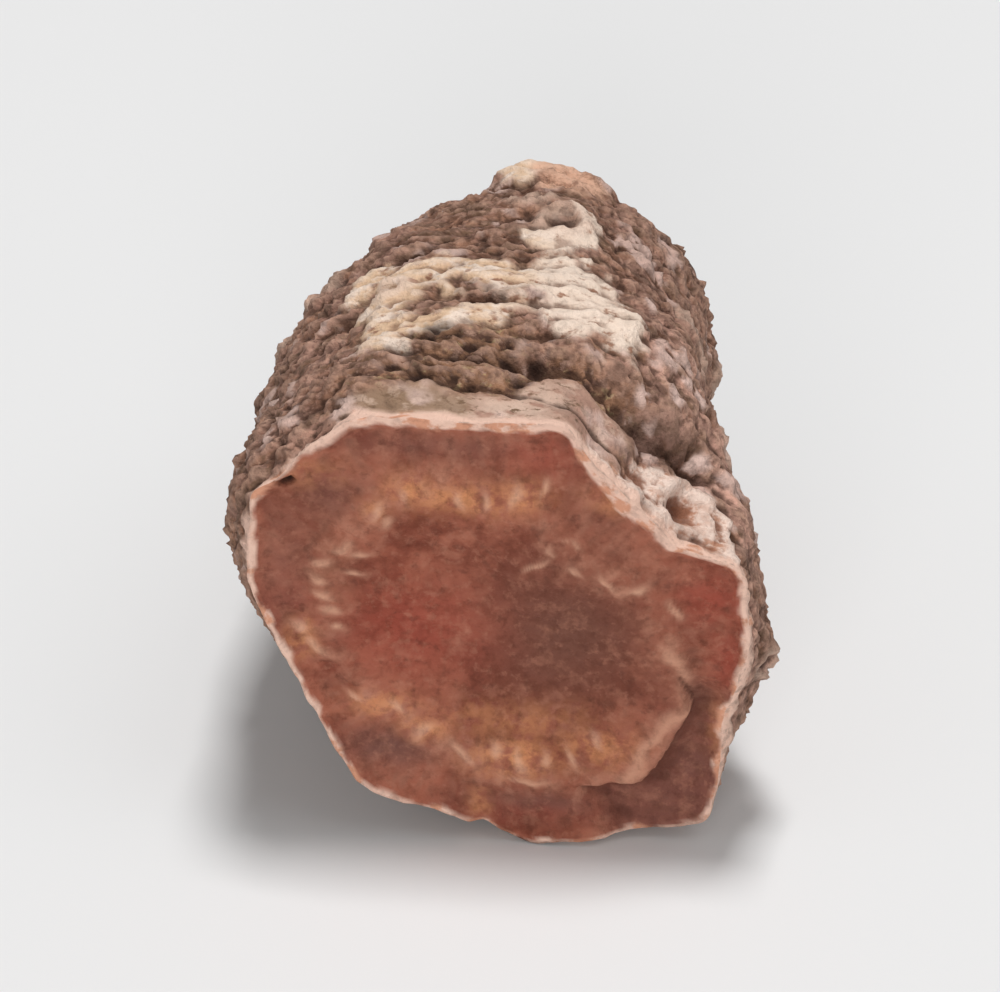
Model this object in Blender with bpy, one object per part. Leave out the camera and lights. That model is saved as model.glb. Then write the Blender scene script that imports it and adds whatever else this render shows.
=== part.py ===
"""A short cut stub of dried bistort rhizome, lying on its side.

It lies along +Y, with the fresh cut facing -Y and the old, shrunken cut facing +Y.
Lengths below are in millimetres, and MM turns them into metres when the mesh is made.
Round the stub, an angle is in degrees from +X (right) over +Z (top).
Along it, "behind" is the distance behind the fresh cut.
"""

import random

import bmesh
import bpy
import numpy as np
from mathutils import Vector, noise

MM = 0.001

# Driving dimensions
AXIS_HEIGHT = 11.0
LENGTH = 29.0
REAR_LEAN = -0.22

# Corners of the fresh cut, as (across, height)
CUT_OUTLINE = (
    (11.0, 11.2), (10.7, 15.3), (7.5, 16.3), (6.5, 17.8), (4.9, 19.5), (4.0, 20.4), (3.0, 22.2),
    (-6.4, 22.1), (-9.2, 19.5), (-11.1, 16.5), (-11.1, 13.0), (-9.0, 8.3), (-7.2, 4.6), (-6.1, 2.6),
    (-2.8, 1.5), (1.2, 0.1), (9.2, 0.9), (9.6, 3.5), (9.9, 6.8),
)
CORNER_ROUNDING = 3.5
NICK = {"angle": -94.0, "spread": 3.0, "depth": 0.5}
FLAP = {"angle": 147.0, "spread": 4.0, "height": 0.6}

# Full bark sections: behind, reach to the left, reach to the right, top, bottom, squareness
SECTIONS = (
    (4.0, 12.4, 11.4, 22.6, 0.5, 2.2),
    (10.0, 12.4, 9.2, 22.9, 0.8, 2.2),
    (16.0, 12.3, 8.2, 22.2, 1.0, 2.1),
    (22.0, 10.7, 7.6, 20.9, 0.9, 1.75),
    (27.0, 8.7, 7.3, 18.2, 1.1, 1.55),
    (31.5, 7.2, 6.1, 16.0, 2.0, 1.7),
)
RIGHT_SQUARER = 0.4

# How the cut's outline swells into the full section
CUT_REACH = 10.0
SHOULDER_RUN = 3.5
SHOULDER_LEFT = 0.95
SHOULDER_TOP = 0.4
HIP = {"angle": -20.0, "spread": 22.0, "behind": 4.8, "length": 3.6, "height": 1.45}

# Bark relief: sizes across the bark, and heights or depths
LUMP_SIZE = 7.0
LUMP_HEIGHT = 0.55
CREASE_PITCH = 2.3
CREASE_DEPTH = 0.5
FOLD_COUNT = 17
FOLD_DEPTH = 0.45
KNUCKLE_SIZE = 1.8
KNUCKLE_HEIGHT = 0.2
SMOOTH_RIM = 1.3
SMOOTH_COLLAR = {"angle": 80.0, "spread": 40.0, "length": 2.8}

# Single marks on the bark
COLLAR_CREASE = {"depth": 0.95, "width": 0.75, "behind": 4.9, "behind_at_notch": 4.2}
SLIT = {"angle": 99.0, "behind": 9.5, "half_length": 1.7, "half_width": 0.45, "depth": 0.6}
KNOB = {"angle": 87.0, "behind": 26.3, "radius": 3.1, "height": 1.1}
TORN_HOLLOW = {"angle": 37.0, "behind": 1.8, "radius": 0.6, "depth": 0.9, "ring": 1.25, "ring_height": 0.4}

# Root scars: three in plain sight and the rest scattered round the underside and the flanks,
# as (angle, behind, radius, height, how far the rootlet's stump fills it)
SEEN_SCARS = ((83.0, 17.5, 1.1, 0.35, 0.0), (92.0, 20.3, 0.8, 0.4, 0.0), (-15.0, 3.3, 0.7, 0.25, 0.0))
SCAR_COUNT = 15
SCAR_SWEEP = 300.0
STUMP_SHARE = 0.4

# Three low points that the stub rests on, as (angle, behind, radius to just below ground, width)
FEET = ((-113.5, 6.5, 12.2, 2.4), (-61.5, 3.6, 12.75, 2.4), (-96.0, 24.0, 11.26, 2.4))
UNDERSIDE_CLEARANCE = 0.35

# Fresh cut: the ring of vascular bundles as (across, height), then heights and depths
BUNDLE_LINE = (
    (7.3, 11.2), (6.1, 13.4), (4.0, 14.8), (2.6, 16.0), (1.5, 17.8), (-1.7, 19.1), (-3.8, 18.6),
    (-5.4, 17.4), (-7.2, 15.2), (-7.9, 11.0), (-5.2, 7.3), (-3.1, 5.3), (0.1, 3.3), (3.0, 3.2),
    (6.2, 3.9), (8.2, 6.8),
)
BUNDLE_COUNT = 41
BUNDLE_HEIGHT = 0.32
BUNDLE_WIDTH = 0.34
LIP_HEIGHT = 0.16
LIP_WIDTH = 0.45
CORTEX_SINK = 0.14
PITH_DISH = 0.6
CHIP = {"from": -65.0, "to": -16.0, "depth": 0.85}

# Old cut at the rear
REAR_DISH = 1.25
REAR_EDGE_ROUND = 0.6
REAR_WRINKLE_PITCH = 2.6
SPLIT = {"depth": 1.6, "half_width": 0.55, "half_length": 3.2, "lean": 0.35}

# Colours, linear
BARK_COLOUR = (0.22, 0.135, 0.105)
FLESH_COLOUR = (0.25, 0.095, 0.06)
RIM_COLOUR = (0.62, 0.38, 0.27)

# Mesh density before it is thinned
COLUMNS = 176
CUT_RINGS = 27
BARK_ROWS = 91
REAR_RINGS = 14
KEPT_SHARE = 0.232
BARK, FLESH, RIM = range(3)


def smoothstep(low, high, value):
    share = np.clip((value - low) / (high - low), 0.0, 1.0)
    return share * share * (3.0 - 2.0 * share)


def bell(distance, width):
    return np.exp(-((distance / width) ** 2))


def turned(angle, centre):
    """Degrees from the centre angle to each angle, between -180 and 180."""
    return (angle - centre + 180.0) % 360.0 - 180.0


def noise_at(points, size, seed):
    """Smooth noise between about -1 and 1, with lumps of the given size."""
    shift = Vector((17.3 * seed, 5.1 * seed, 9.7 * seed))
    values = [noise.noise(Vector(point) + shift) for point in points.reshape(-1, 3) / size]
    return np.array(values).reshape(points.shape[:-1])


def cells_at(points, size, seed):
    """Distance from each point to the nearest of the scattered knuckle centres, in cell sizes."""
    shift = Vector((3.1 * seed, 8.3 * seed, 5.9 * seed))
    values = [noise.voronoi(Vector(point) + shift)[0][0] for point in points.reshape(-1, 3) / size]
    return np.array(values).reshape(points.shape[:-1])


def crease(phase):
    """Zero on the round folds and one at the bottom of the sharp creases between them."""
    return (1.0 - np.abs(np.sin(np.pi * phase))) ** 2


def round_points(angle, radius, behind):
    """Points of the stub, with its axis over the origin."""
    across = radius * np.cos(np.radians(angle))
    height = AXIS_HEIGHT + radius * np.sin(np.radians(angle))
    return np.stack(np.broadcast_arrays(across, behind, height), axis=-1)


def away(angle, behind, radius, mark_angle, mark_behind):
    """Distances over the bark from a mark's centre, round the stub and along it."""
    return np.radians(turned(angle, mark_angle)) * radius, behind - mark_behind


def outline_radius(corners, angle):
    """Radius of a closed outline round the stub's axis, with its corners rounded."""
    corner = np.array(corners) - (0.0, AXIS_HEIGHT)
    along = np.linspace(0.0, 1.0, 24, endpoint=False)[:, None, None]
    line = (corner + (np.roll(corner, -1, axis=0) - corner) * along).reshape(-1, 2)
    turns = np.degrees(np.arctan2(line[:, 1], line[:, 0]))
    radii = np.hypot(line[:, 0], line[:, 1])
    order = np.argsort(turns)
    nearby = [
        np.interp(angle + offset, turns[order], radii[order], period=360.0)
        for offset in np.linspace(-CORNER_ROUNDING, CORNER_ROUNDING, 7)
    ]
    return np.mean(nearby, axis=0)


def section_radius(angle, behind):
    """Radius of the full bark section, a squarish oval with its own reach on each side."""
    table = np.array(SECTIONS)
    left, right, top, bottom, squareness = [
        np.mean([np.interp(behind + step, table[:, 0], column) for step in (-1.5, 0.0, 1.5)], axis=0)
        for column in table.T[1:]
    ]
    across = np.cos(np.radians(angle))
    up = np.sin(np.radians(angle))
    reach_across = np.where(across > 0.0, right, left)
    reach_up = np.where(up > 0.0, top - AXIS_HEIGHT, AXIS_HEIGHT - bottom)
    squareness = squareness + RIGHT_SQUARER * (across > 0.0)
    spread = (np.abs(across) / reach_across) ** squareness + (np.abs(up) / reach_up) ** squareness
    return spread ** (-1.0 / squareness)


def body_radius(angle, behind):
    """Radius of the bark without relief: the cut's outline swells into the full section."""
    left = np.clip(-np.cos(np.radians(angle)), 0.0, 1.0)
    top = np.clip(np.sin(np.radians(angle)), 0.0, 1.0)
    upper = smoothstep(-0.7, 0.2, np.sin(np.radians(angle)))
    swell = (SHOULDER_LEFT * left * upper + SHOULDER_TOP * top) * smoothstep(0.0, SHOULDER_RUN, behind)
    near_cut = outline_radius(CUT_OUTLINE, angle) + swell
    share = smoothstep(0.0, CUT_REACH, behind)
    hip = bell(turned(angle, HIP["angle"]), HIP["spread"]) * bell(behind - HIP["behind"], HIP["length"])
    return (1.0 - share) * near_cut + share * section_radius(angle, behind) + HIP["height"] * hip


def root_scars():
    """Scars of fallen rootlets, each a crater or a broken stump."""
    draw = random.Random(41)
    scars = list(SEEN_SCARS)
    for index in range(SCAR_COUNT):
        place = (index + draw.uniform(-0.4, 0.4)) / SCAR_COUNT - 0.5
        behind = draw.uniform(7.0, 25.0)
        size = draw.uniform(0.7, 1.25)
        stump = draw.random() < STUMP_SHARE
        height = draw.uniform(0.45, 0.75) if stump else draw.uniform(0.25, 0.5)
        scars.append((-90.0 + SCAR_SWEEP * place, behind, size, height, 1.0 if stump else 0.15))
    return scars


def scar_relief(angle, behind, radius):
    """A scar is a low crater with a raised rim, or the rootlet's broken stump standing in it."""
    relief = np.zeros_like(behind)
    for mark_angle, mark_behind, size, height, full in root_scars():
        distance = np.hypot(*away(angle, behind, radius, mark_angle, mark_behind))
        relief += height * bell(distance - size, 0.45 * size) * (1.0 - 0.6 * full)
        relief -= 1.3 * height * bell(distance, 0.55 * size) * (1.0 - full)
        relief += height * full * smoothstep(1.25 * size, 0.6 * size, distance)
    return relief


def single_marks(angle, behind, radius):
    """The crease behind the collar, the torn hollow at the notch, the slit and the rear knob."""
    drop = smoothstep(72.0, 52.0, angle)
    crease_line = COLLAR_CREASE["behind"] + 0.2 * np.sin(np.radians(11.0 * angle))
    crease_line += (COLLAR_CREASE["behind_at_notch"] - COLLAR_CREASE["behind"]) * drop
    strength = smoothstep(18.0, 36.0, angle) * smoothstep(96.0, 82.0, angle)
    relief = -COLLAR_CREASE["depth"] * strength * bell(behind - crease_line, COLLAR_CREASE["width"])
    around, along = away(angle, behind, radius, SLIT["angle"], SLIT["behind"])
    relief -= SLIT["depth"] * bell(around, SLIT["half_length"]) * bell(along, SLIT["half_width"])
    torn = np.hypot(*away(angle, behind, radius, TORN_HOLLOW["angle"], TORN_HOLLOW["behind"]))
    relief += TORN_HOLLOW["ring_height"] * bell(torn - TORN_HOLLOW["ring"], 0.6)
    relief -= TORN_HOLLOW["depth"] * bell(torn, TORN_HOLLOW["radius"])
    distance = np.hypot(*away(angle, behind, radius, KNOB["angle"], KNOB["behind"]))
    return relief + KNOB["height"] * np.exp(-((distance / KNOB["radius"]) ** 4))


def bark_relief(angle, behind, points, radius):
    """How far the bark stands out from the plain body, at each point of it."""
    wander = noise_at(points, 8.0, 1)
    flutter = noise_at(points, 3.0, 2)
    strength = 0.65 + 0.45 * noise_at(points, 5.0, 3)
    rings = crease(behind / CREASE_PITCH + 0.75 * wander + 0.22 * flutter)
    folds = crease(angle * FOLD_COUNT / 360.0 + 1.2 * wander + 0.3 * flutter + 0.03 * behind)
    relief = LUMP_HEIGHT * noise_at(points, LUMP_SIZE, 4)
    relief += KNUCKLE_HEIGHT * (0.5 - cells_at(points, KNUCKLE_SIZE, 5))
    relief -= CREASE_DEPTH * rings * np.clip(strength, 0.1, 1.2)
    relief -= FOLD_DEPTH * folds * np.clip(1.2 - strength, 0.15, 1.0)
    relief += scar_relief(angle, behind, radius)
    collar = bell(turned(angle, SMOOTH_COLLAR["angle"]), SMOOTH_COLLAR["spread"])
    relief *= smoothstep(0.0, SMOOTH_RIM + (SMOOTH_COLLAR["length"] - SMOOTH_RIM) * collar, behind)
    return relief + single_marks(angle, behind, radius) * smoothstep(0.0, 1.5, behind)


def stand_on_feet(angle, behind, radius):
    """Keeps the underside off the ground, except at the three low points."""
    down = np.clip(-np.sin(np.radians(angle)), 0.05, 1.0)
    radius = np.minimum(radius, (AXIS_HEIGHT - UNDERSIDE_CLEARANCE) / down)
    for foot_angle, foot_behind, reach, width in FEET:
        distance = np.hypot(*away(angle, behind, reach, foot_angle, foot_behind))
        share = np.minimum(1.25 * bell(distance, width), 1.0)
        radius = radius + np.clip(reach - radius, 0.0, None) * share
    return radius


def bundles():
    """Vascular bundles of the fresh cut, as (angle, offset from their line, length, height)."""
    draw = random.Random(7)
    found = []
    for index in range(BUNDLE_COUNT):
        angle = (index + draw.uniform(-0.3, 0.3)) * 360.0 / BUNDLE_COUNT
        height = BUNDLE_HEIGHT * draw.uniform(0.35, 1.0)
        found.append((angle, draw.uniform(-0.35, 0.35), draw.uniform(0.5, 0.95), height))
    return found


def cut_recess(angle, radius, rim, points):
    """How far the fresh cut lies behind its own plane, at each point of it."""
    inset = rim - radius
    line = outline_radius(BUNDLE_LINE, angle)
    within = line - radius
    recess = 0.22 * noise_at(points, 6.0, 11) + 0.10 * noise_at(points, 2.2, 12)
    recess -= LIP_HEIGHT * bell(inset, LIP_WIDTH)
    recess += CORTEX_SINK * smoothstep(0.3, 1.1, inset) * smoothstep(0.4, 1.2, -within)
    recess += PITH_DISH * smoothstep(0.8, 6.0, within)
    recess += 0.12 * np.abs(noise_at(points, 1.1, 13)) * smoothstep(0.5, 1.5, within)
    for bundle_angle, offset, length, height in bundles():
        around = np.radians(turned(angle, bundle_angle)) * radius
        recess -= height * bell(around, BUNDLE_WIDTH) * bell(radius - line - offset, length)
    chipped = smoothstep(CHIP["from"] - 5.0, CHIP["from"] + 5.0, angle)
    chipped = chipped * smoothstep(CHIP["to"] + 8.0, CHIP["to"] - 8.0, angle)
    torn_edge = 0.25 + 0.5 * noise_at(points, 1.6, 14)
    return recess + CHIP["depth"] * chipped * smoothstep(0.0, 0.3, -within - torn_edge)


def rim_nicks(angle):
    """Small unevenness of the fresh cut's outline, a nick at the bottom and a flap at the left."""
    plain = outline_radius(CUT_OUTLINE, angle)
    points = round_points(angle, plain, 0.0)
    uneven = 0.16 * noise_at(points, 1.7, 21) + 0.10 * noise_at(points, 0.8, 22)
    uneven -= NICK["depth"] * bell(turned(angle, NICK["angle"]), NICK["spread"])
    return uneven + FLAP["height"] * bell(turned(angle, FLAP["angle"]), FLAP["spread"])


def cut_rows(angle):
    """Rings of the fresh cut, from its middle out to the rim."""
    rim = outline_radius(CUT_OUTLINE, angle) + rim_nicks(angle)
    share = np.linspace(0.0, 1.0, CUT_RINGS + 1)[1:, None]
    radius = share * rim
    flat = round_points(angle, radius, 0.0)
    return round_points(angle, radius, cut_recess(angle, radius, rim, flat))


def rear_rows(angle):
    """Rings of the old cut, from its rim in to its middle: dished, wrinkled and split by drying."""
    plain = section_radius(angle, np.full_like(angle, LENGTH))
    edge = round_points(angle, plain, LENGTH)
    rim = plain + 0.4 * noise_at(edge, 3.0, 31) + 0.25 * noise_at(edge, 1.4, 32)
    share = np.linspace(1.0, 0.0, REAR_RINGS + 1)[:-1, None]
    radius = share * rim
    inset = rim - radius
    flat = round_points(angle, radius, LENGTH)
    across = flat[..., 0]
    up = flat[..., 2] - AXIS_HEIGHT
    wrinkles = crease(radius / REAR_WRINKLE_PITCH + 0.6 * noise_at(flat, 4.0, 34))
    dish = REAR_DISH * smoothstep(0.7, 3.8, inset) + REAR_EDGE_ROUND * bell(inset, 0.55)
    dish += 0.45 * noise_at(flat, 3.5, 33) + 0.3 * wrinkles * smoothstep(0.0, 1.5, inset)
    split_line = across + SPLIT["lean"] * up + 0.6
    dish += SPLIT["depth"] * bell(split_line, SPLIT["half_width"]) * bell(up + 0.8, SPLIT["half_length"])
    return round_points(angle, radius, LENGTH + REAR_LEAN * up - dish)


def bark_rows(angle, cut_rim, rear_rim):
    """Rows of the bark between the rims of the two cuts."""
    share = np.linspace(0.0, 1.0, BARK_ROWS + 2)[1:-1, None]
    front = cut_rim[:, 1]
    rear = rear_rim[:, 1]
    behind = share * (rear - front)
    plain = body_radius(angle, behind)
    points = round_points(angle, plain, behind)
    radius = plain + bark_relief(angle, behind, points, plain)
    radius += rim_nicks(angle) * smoothstep(1.0, 0.0, behind)
    rear_radius = np.hypot(rear_rim[:, 0], rear_rim[:, 2] - AXIS_HEIGHT)
    radius += (rear_radius - radius) * smoothstep(2.5, 0.0, rear - front - behind)
    return round_points(angle, stand_on_feet(angle, behind, radius), front + behind)


def stub_rows():
    """All rings of the stub from the fresh cut to the old one, over the middle of its own box."""
    angle = np.arange(COLUMNS) * 360.0 / COLUMNS - 180.0
    cut = cut_rows(angle)
    rear = rear_rows(angle)
    rows = np.concatenate([cut, bark_rows(angle, cut[-1], rear[0]), rear])
    points = rows.reshape(-1, 3)
    middle = (points.min(axis=0) + points.max(axis=0)) / 2.0
    return rows - (middle[0], middle[1], 0.0)


def row_material(row):
    """Material slot of the faces that start on this row."""
    if row < CUT_RINGS - 2:
        return FLESH
    if row < CUT_RINGS:
        return RIM
    return BARK if row < CUT_RINGS + BARK_ROWS else FLESH


def skin(rows):
    """Closed mesh over the rings, with a fan over the middle of each end."""
    shell = bmesh.new()
    rings = [[shell.verts.new(point * MM) for point in row] for row in rows]
    front = shell.verts.new(rows[0].mean(axis=0) * MM)
    rear = shell.verts.new(rows[-1].mean(axis=0) * MM)
    for column in range(COLUMNS):
        following = (column + 1) % COLUMNS
        fans = (
            shell.faces.new((front, rings[0][column], rings[0][following])),
            shell.faces.new((rear, rings[-1][following], rings[-1][column])),
        )
        for fan in fans:
            fan.material_index = FLESH
        for row, (near, far) in enumerate(zip(rings, rings[1:])):
            face = shell.faces.new((near[column], far[column], far[following], near[following]))
            face.material_index = row_material(row)
    bmesh.ops.recalc_face_normals(shell, faces=shell.faces)
    mesh = bpy.data.meshes.new("rhizome")
    shell.to_mesh(mesh)
    shell.free()
    return mesh


def principled(name, colour, roughness):
    material = bpy.data.materials.new(name)
    material.use_nodes = True
    shader = material.node_tree.nodes["Principled BSDF"]
    shader.inputs["Base Color"].default_value = (*colour, 1.0)
    shader.inputs["Roughness"].default_value = roughness
    shader.inputs["Metallic"].default_value = 0.0
    return material


def ground_cutter():
    """A block whose top is the ground: it trims the three low points flat."""
    size = 2.0 * LENGTH * MM
    bpy.ops.mesh.primitive_cube_add(size=size, location=(0.0, 0.0, -size / 2.0))
    cutter = bpy.context.object
    cutter.name = "ground_cutter"
    cutter.hide_render = True
    cutter.display_type = "WIRE"
    return cutter


def rhizome():
    """The whole stub: bark, fresh cut and old cut in one skin, thinned and stood on the ground."""
    mesh = skin(stub_rows())
    mesh.materials.append(principled("bark", BARK_COLOUR, 0.85))
    mesh.materials.append(principled("cut_flesh", FLESH_COLOUR, 0.7))
    mesh.materials.append(principled("pale_rim", RIM_COLOUR, 0.75))
    stub = bpy.data.objects.new("rhizome", mesh)
    bpy.context.collection.objects.link(stub)
    thin = stub.modifiers.new("thin", "DECIMATE")
    thin.ratio = KEPT_SHARE
    trim = stub.modifiers.new("trim", "BOOLEAN")
    trim.operation = "DIFFERENCE"
    trim.solver = "EXACT"
    trim.object = ground_cutter()
    return stub


def main():
    for obj in list(bpy.data.objects):
        bpy.data.objects.remove(obj, do_unlink=True)
    rhizome()


main()
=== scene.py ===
"""Looks of a short cut stub of dried bistort rhizome: bark, fresh cut and old cut in one fine skin.

Lengths are in millimetres and MM turns them into metres when the skin is made.
Round the stub, an angle is in degrees from +X (right) over +Z (top).
Along it, "behind" is the distance behind the fresh cut.
On the fresh cut, a place is (across, height).
"""

import math
import random

import bpy
import numpy as np
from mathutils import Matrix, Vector, noise


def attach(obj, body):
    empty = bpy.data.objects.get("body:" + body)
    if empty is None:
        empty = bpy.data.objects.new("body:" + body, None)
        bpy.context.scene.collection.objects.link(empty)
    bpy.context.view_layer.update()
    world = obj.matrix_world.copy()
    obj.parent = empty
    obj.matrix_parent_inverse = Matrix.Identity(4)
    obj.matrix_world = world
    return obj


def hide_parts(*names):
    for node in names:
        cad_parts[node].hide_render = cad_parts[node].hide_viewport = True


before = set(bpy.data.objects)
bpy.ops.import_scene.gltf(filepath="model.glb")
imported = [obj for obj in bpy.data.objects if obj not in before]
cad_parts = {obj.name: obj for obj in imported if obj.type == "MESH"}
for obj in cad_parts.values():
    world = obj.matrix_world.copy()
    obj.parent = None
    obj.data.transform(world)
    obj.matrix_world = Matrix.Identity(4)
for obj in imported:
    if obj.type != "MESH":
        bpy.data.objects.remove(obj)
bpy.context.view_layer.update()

MM = 0.001

# The stub as the solid has it
AXIS_HEIGHT = 11.0
LENGTH = 29.0
REAR_LEAN = -0.22
MIDDLE = (-0.334, 15.365)
CUT_OUTLINE = (
    (11.0, 11.2), (10.7, 15.3), (7.5, 16.3), (6.5, 17.8), (4.9, 19.5), (4.0, 20.4), (3.0, 22.2),
    (-6.4, 22.1), (-9.2, 19.5), (-11.1, 16.5), (-11.1, 13.0), (-9.0, 8.3), (-7.2, 4.6), (-6.1, 2.6),
    (-2.8, 1.5), (1.2, 0.1), (9.2, 0.9), (9.6, 3.5), (9.9, 6.8),
)
CORNER_ROUNDING = 3.5
NICK = {"angle": -94.0, "spread": 3.0, "depth": 0.5}
FLAP = {"angle": 147.0, "spread": 4.0, "height": 0.6}
SECTIONS = (
    (4.0, 12.4, 11.4, 22.6, 0.5, 2.2),
    (10.0, 12.4, 9.2, 22.9, 0.8, 2.2),
    (16.0, 12.3, 8.2, 22.2, 1.0, 2.1),
    (22.0, 10.7, 7.6, 20.9, 0.9, 1.75),
    (27.0, 8.7, 7.3, 18.2, 1.1, 1.55),
    (31.5, 7.2, 6.1, 16.0, 2.0, 1.7),
)
RIGHT_SQUARER = 0.4
CUT_REACH = 10.0
SHOULDER_RUN = 3.5
SHOULDER_LEFT = 0.95
SHOULDER_TOP = 0.4
HIP = {"angle": -20.0, "spread": 22.0, "behind": 4.8, "length": 3.6, "height": 1.45}
LUMP_SIZE = 7.0
LUMP_HEIGHT = 0.55
CREASE_PITCH = 2.3
CREASE_DEPTH = 0.5
FOLD_COUNT = 17
FOLD_DEPTH = 0.45
KNUCKLE_SIZE = 1.8
KNUCKLE_HEIGHT = 0.2
SMOOTH_RIM = 1.3
SMOOTH_COLLAR = {"angle": 80.0, "spread": 40.0, "length": 2.8}
COLLAR_CREASE = {"depth": 0.95, "width": 0.75, "behind": 4.9, "behind_at_notch": 4.2}
SLIT = {"angle": 99.0, "behind": 9.5, "half_length": 1.7, "half_width": 0.45, "depth": 0.6}
KNOB = {"angle": 87.0, "behind": 26.3, "radius": 3.1, "height": 1.1}
TORN_HOLLOW = {
    "angle": 37.0, "behind": 1.8, "radius": 0.6, "depth": 0.9,
    "ring": 1.25, "ring_width": 0.6, "ring_height": 0.4,
}
SEEN_SCARS = ((83.0, 17.5, 1.1, 0.35, 0.0), (92.0, 20.3, 0.8, 0.4, 0.0), (-15.0, 3.3, 0.7, 0.25, 0.0))
SCAR_COUNT = 15
SCAR_SWEEP = 300.0
STUMP_SHARE = 0.4
FEET = ((-113.5, 6.5, 12.2, 2.4), (-61.5, 3.6, 12.75, 2.4), (-96.0, 24.0, 11.26, 2.4))
UNDERSIDE_CLEARANCE = 0.35
BUNDLE_LINE = (
    (7.3, 11.2), (6.1, 13.4), (4.0, 14.8), (2.6, 16.0), (1.5, 17.8), (-1.7, 19.1), (-3.8, 18.6),
    (-5.4, 17.4), (-7.2, 15.2), (-7.9, 11.0), (-5.2, 7.3), (-3.1, 5.3), (0.1, 3.3), (3.0, 3.2),
    (6.2, 3.9), (8.2, 6.8),
)
BUNDLE_COUNT = 41
BUNDLE_HEIGHT = 0.32
BUNDLE_WIDTH = 0.34
LIP_HEIGHT = 0.16
LIP_WIDTH = 0.45
CORTEX_SINK = 0.14
PITH_DISH = 0.6
CHIP = {"from": -65.0, "to": -16.0, "depth": 0.85}
REAR_DISH = 1.25
REAR_EDGE_ROUND = 0.6
REAR_WRINKLE_PITCH = 2.6
SPLIT = {"across": -0.6, "height": -0.8, "depth": 1.6, "half_width": 0.55, "half_length": 3.2, "lean": 0.35}

# Where forms and colours lie round the stub, as (rise, fall), each with the angles where it is zero and one
COLLAR_CREASE_SPAN = ((18.0, 36.0), (96.0, 82.0))
GROOVE_SPAN = ((34.0, 42.0), (68.0, 58.0))
COLLAR_SPAN = ((54.0, 64.0), (130.0, 116.0))
UPPER_LEFT_SPAN = ((84.0, 92.0), (118.0, 108.0))
LEFT_FLANK_SPAN = ((112.0, 124.0), (156.0, 138.0))
FLAKE_SPAN = ((-30.0, 30.0), (165.0, 120.0))

# Where the dark band ends behind the cut, and half the width of the painted shade in the collar's crease
BAND_END = 7.0
GROOVE_WIDTH = 1.2

# Finer relief of the bark than the solid has: pitches, sizes, heights and depths
FINE_CREASE_PITCH = 1.15
FINE_CREASE_DEPTH = 0.2
FINE_FOLD_COUNT = 46
FINE_FOLD_DEPTH = 0.12
GRIT_SIZE = 0.6
GRIT_HEIGHT = 0.07

# Irregular wrinkles of the bark, as (size, height, seed)
WRINKLES = ((2.4, 0.26, 42), (1.2, 0.2, 49), (0.6, 0.12, 50))

# Small holes, as (how many, angles, distances behind the cut, radii)
PITS = (
    (110, (-180.0, 180.0), (2.0, 28.0), (0.15, 0.36)),
    (34, (84.0, 114.0), (2.2, 7.2), (0.2, 0.48)),
)
PIT_DEPTH = 0.5

# Layers of noise, as (height, size, seed)
CRUST_RAGGED = ((0.6, 1.7, 51), (0.6, 0.7, 52))
CREAM_RAGGED = ((0.6, 1.3, 55), (0.3, 0.5, 56))
CUT_WAVES = ((0.22, 6.0, 11), (0.10, 2.2, 12))
CUT_RIM_UNEVEN = ((0.16, 1.7, 21), (0.10, 0.8, 22))
REAR_RIM_UNEVEN = ((0.4, 3.0, 31), (0.25, 1.4, 32))

# Pale crust that is left on the upper side, as paths of (angle, behind, half width)
CRUST_PATHS = (
    (
        (115.0, 5.8, 1.0), (118.0, 8.6, 1.3), (120.0, 10.4, 1.5), (115.0, 12.3, 1.6), (107.0, 12.2, 1.7),
        (100.0, 12.4, 1.3), (94.0, 11.2, 1.7), (88.0, 11.8, 1.6), (82.0, 11.8, 2.1), (76.0, 9.7, 2.2),
        (71.0, 8.7, 1.9), (66.0, 7.8, 1.3),
    ),
    ((112.0, 7.4, 0.8), (104.0, 7.7, 0.7), (95.0, 8.0, 0.8), (91.0, 9.4, 0.8)),
    ((91.0, 16.2, 0.5), (83.0, 15.6, 0.9), (77.5, 16.2, 0.8), (76.5, 18.0, 0.6), (81.0, 19.3, 0.4)),
    ((128.0, 12.6, 0.8), (125.0, 14.4, 0.8)),
    ((106.0, 25.6, 0.9), (97.0, 24.5, 1.1), (91.0, 25.0, 1.0), (85.0, 25.9, 0.7)),
    ((68.0, 25.2, 0.6), (60.0, 25.6, 0.7)),
)
TIP_PATCH = {"angle": 83.0, "behind": 23.8, "radius": 2.0}

# Torn patch behind the notch, where the pale cortex shows: how far back it reaches at each angle
CREAM_REACH = ((22.0, 0.3), (27.0, 3.4), (35.0, 3.9), (51.0, 2.3), (63.0, 1.1), (70.0, 0.3))
CREAM_HEIGHT = 0.35
# Strip of painted shade just behind the torn patch
CREAM_SHADE = {"angle": 60.0, "behind": 1.9, "half_length": 1.2, "half_width": 0.5}

# Small holes in the torn patch, as (angle, behind, radius)
TORN_PITS = ((33.5, 0.7, 0.3), (30.5, 0.8, 0.3), (47.0, 0.5, 0.35), (56.0, 1.2, 0.25))

# Pale flecks on the bark, as (angle, behind, half width)
PALE_FLECKS = (
    (48.0, 22.9, 0.6), (55.0, 8.3, 0.45), (44.0, 8.1, 0.5), (49.0, 7.7, 0.35), (37.0, 5.1, 0.4),
    (51.0, 6.5, 0.45), (58.0, 5.5, 0.35), (123.0, 1.2, 0.5), (143.0, 3.0, 0.5), (14.0, 4.6, 0.45),
    (36.0, 11.5, 0.5), (42.0, 15.0, 0.35), (52.0, 19.5, 0.35), (60.0, 12.2, 0.3), (150.0, 9.0, 0.5),
)

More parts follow.
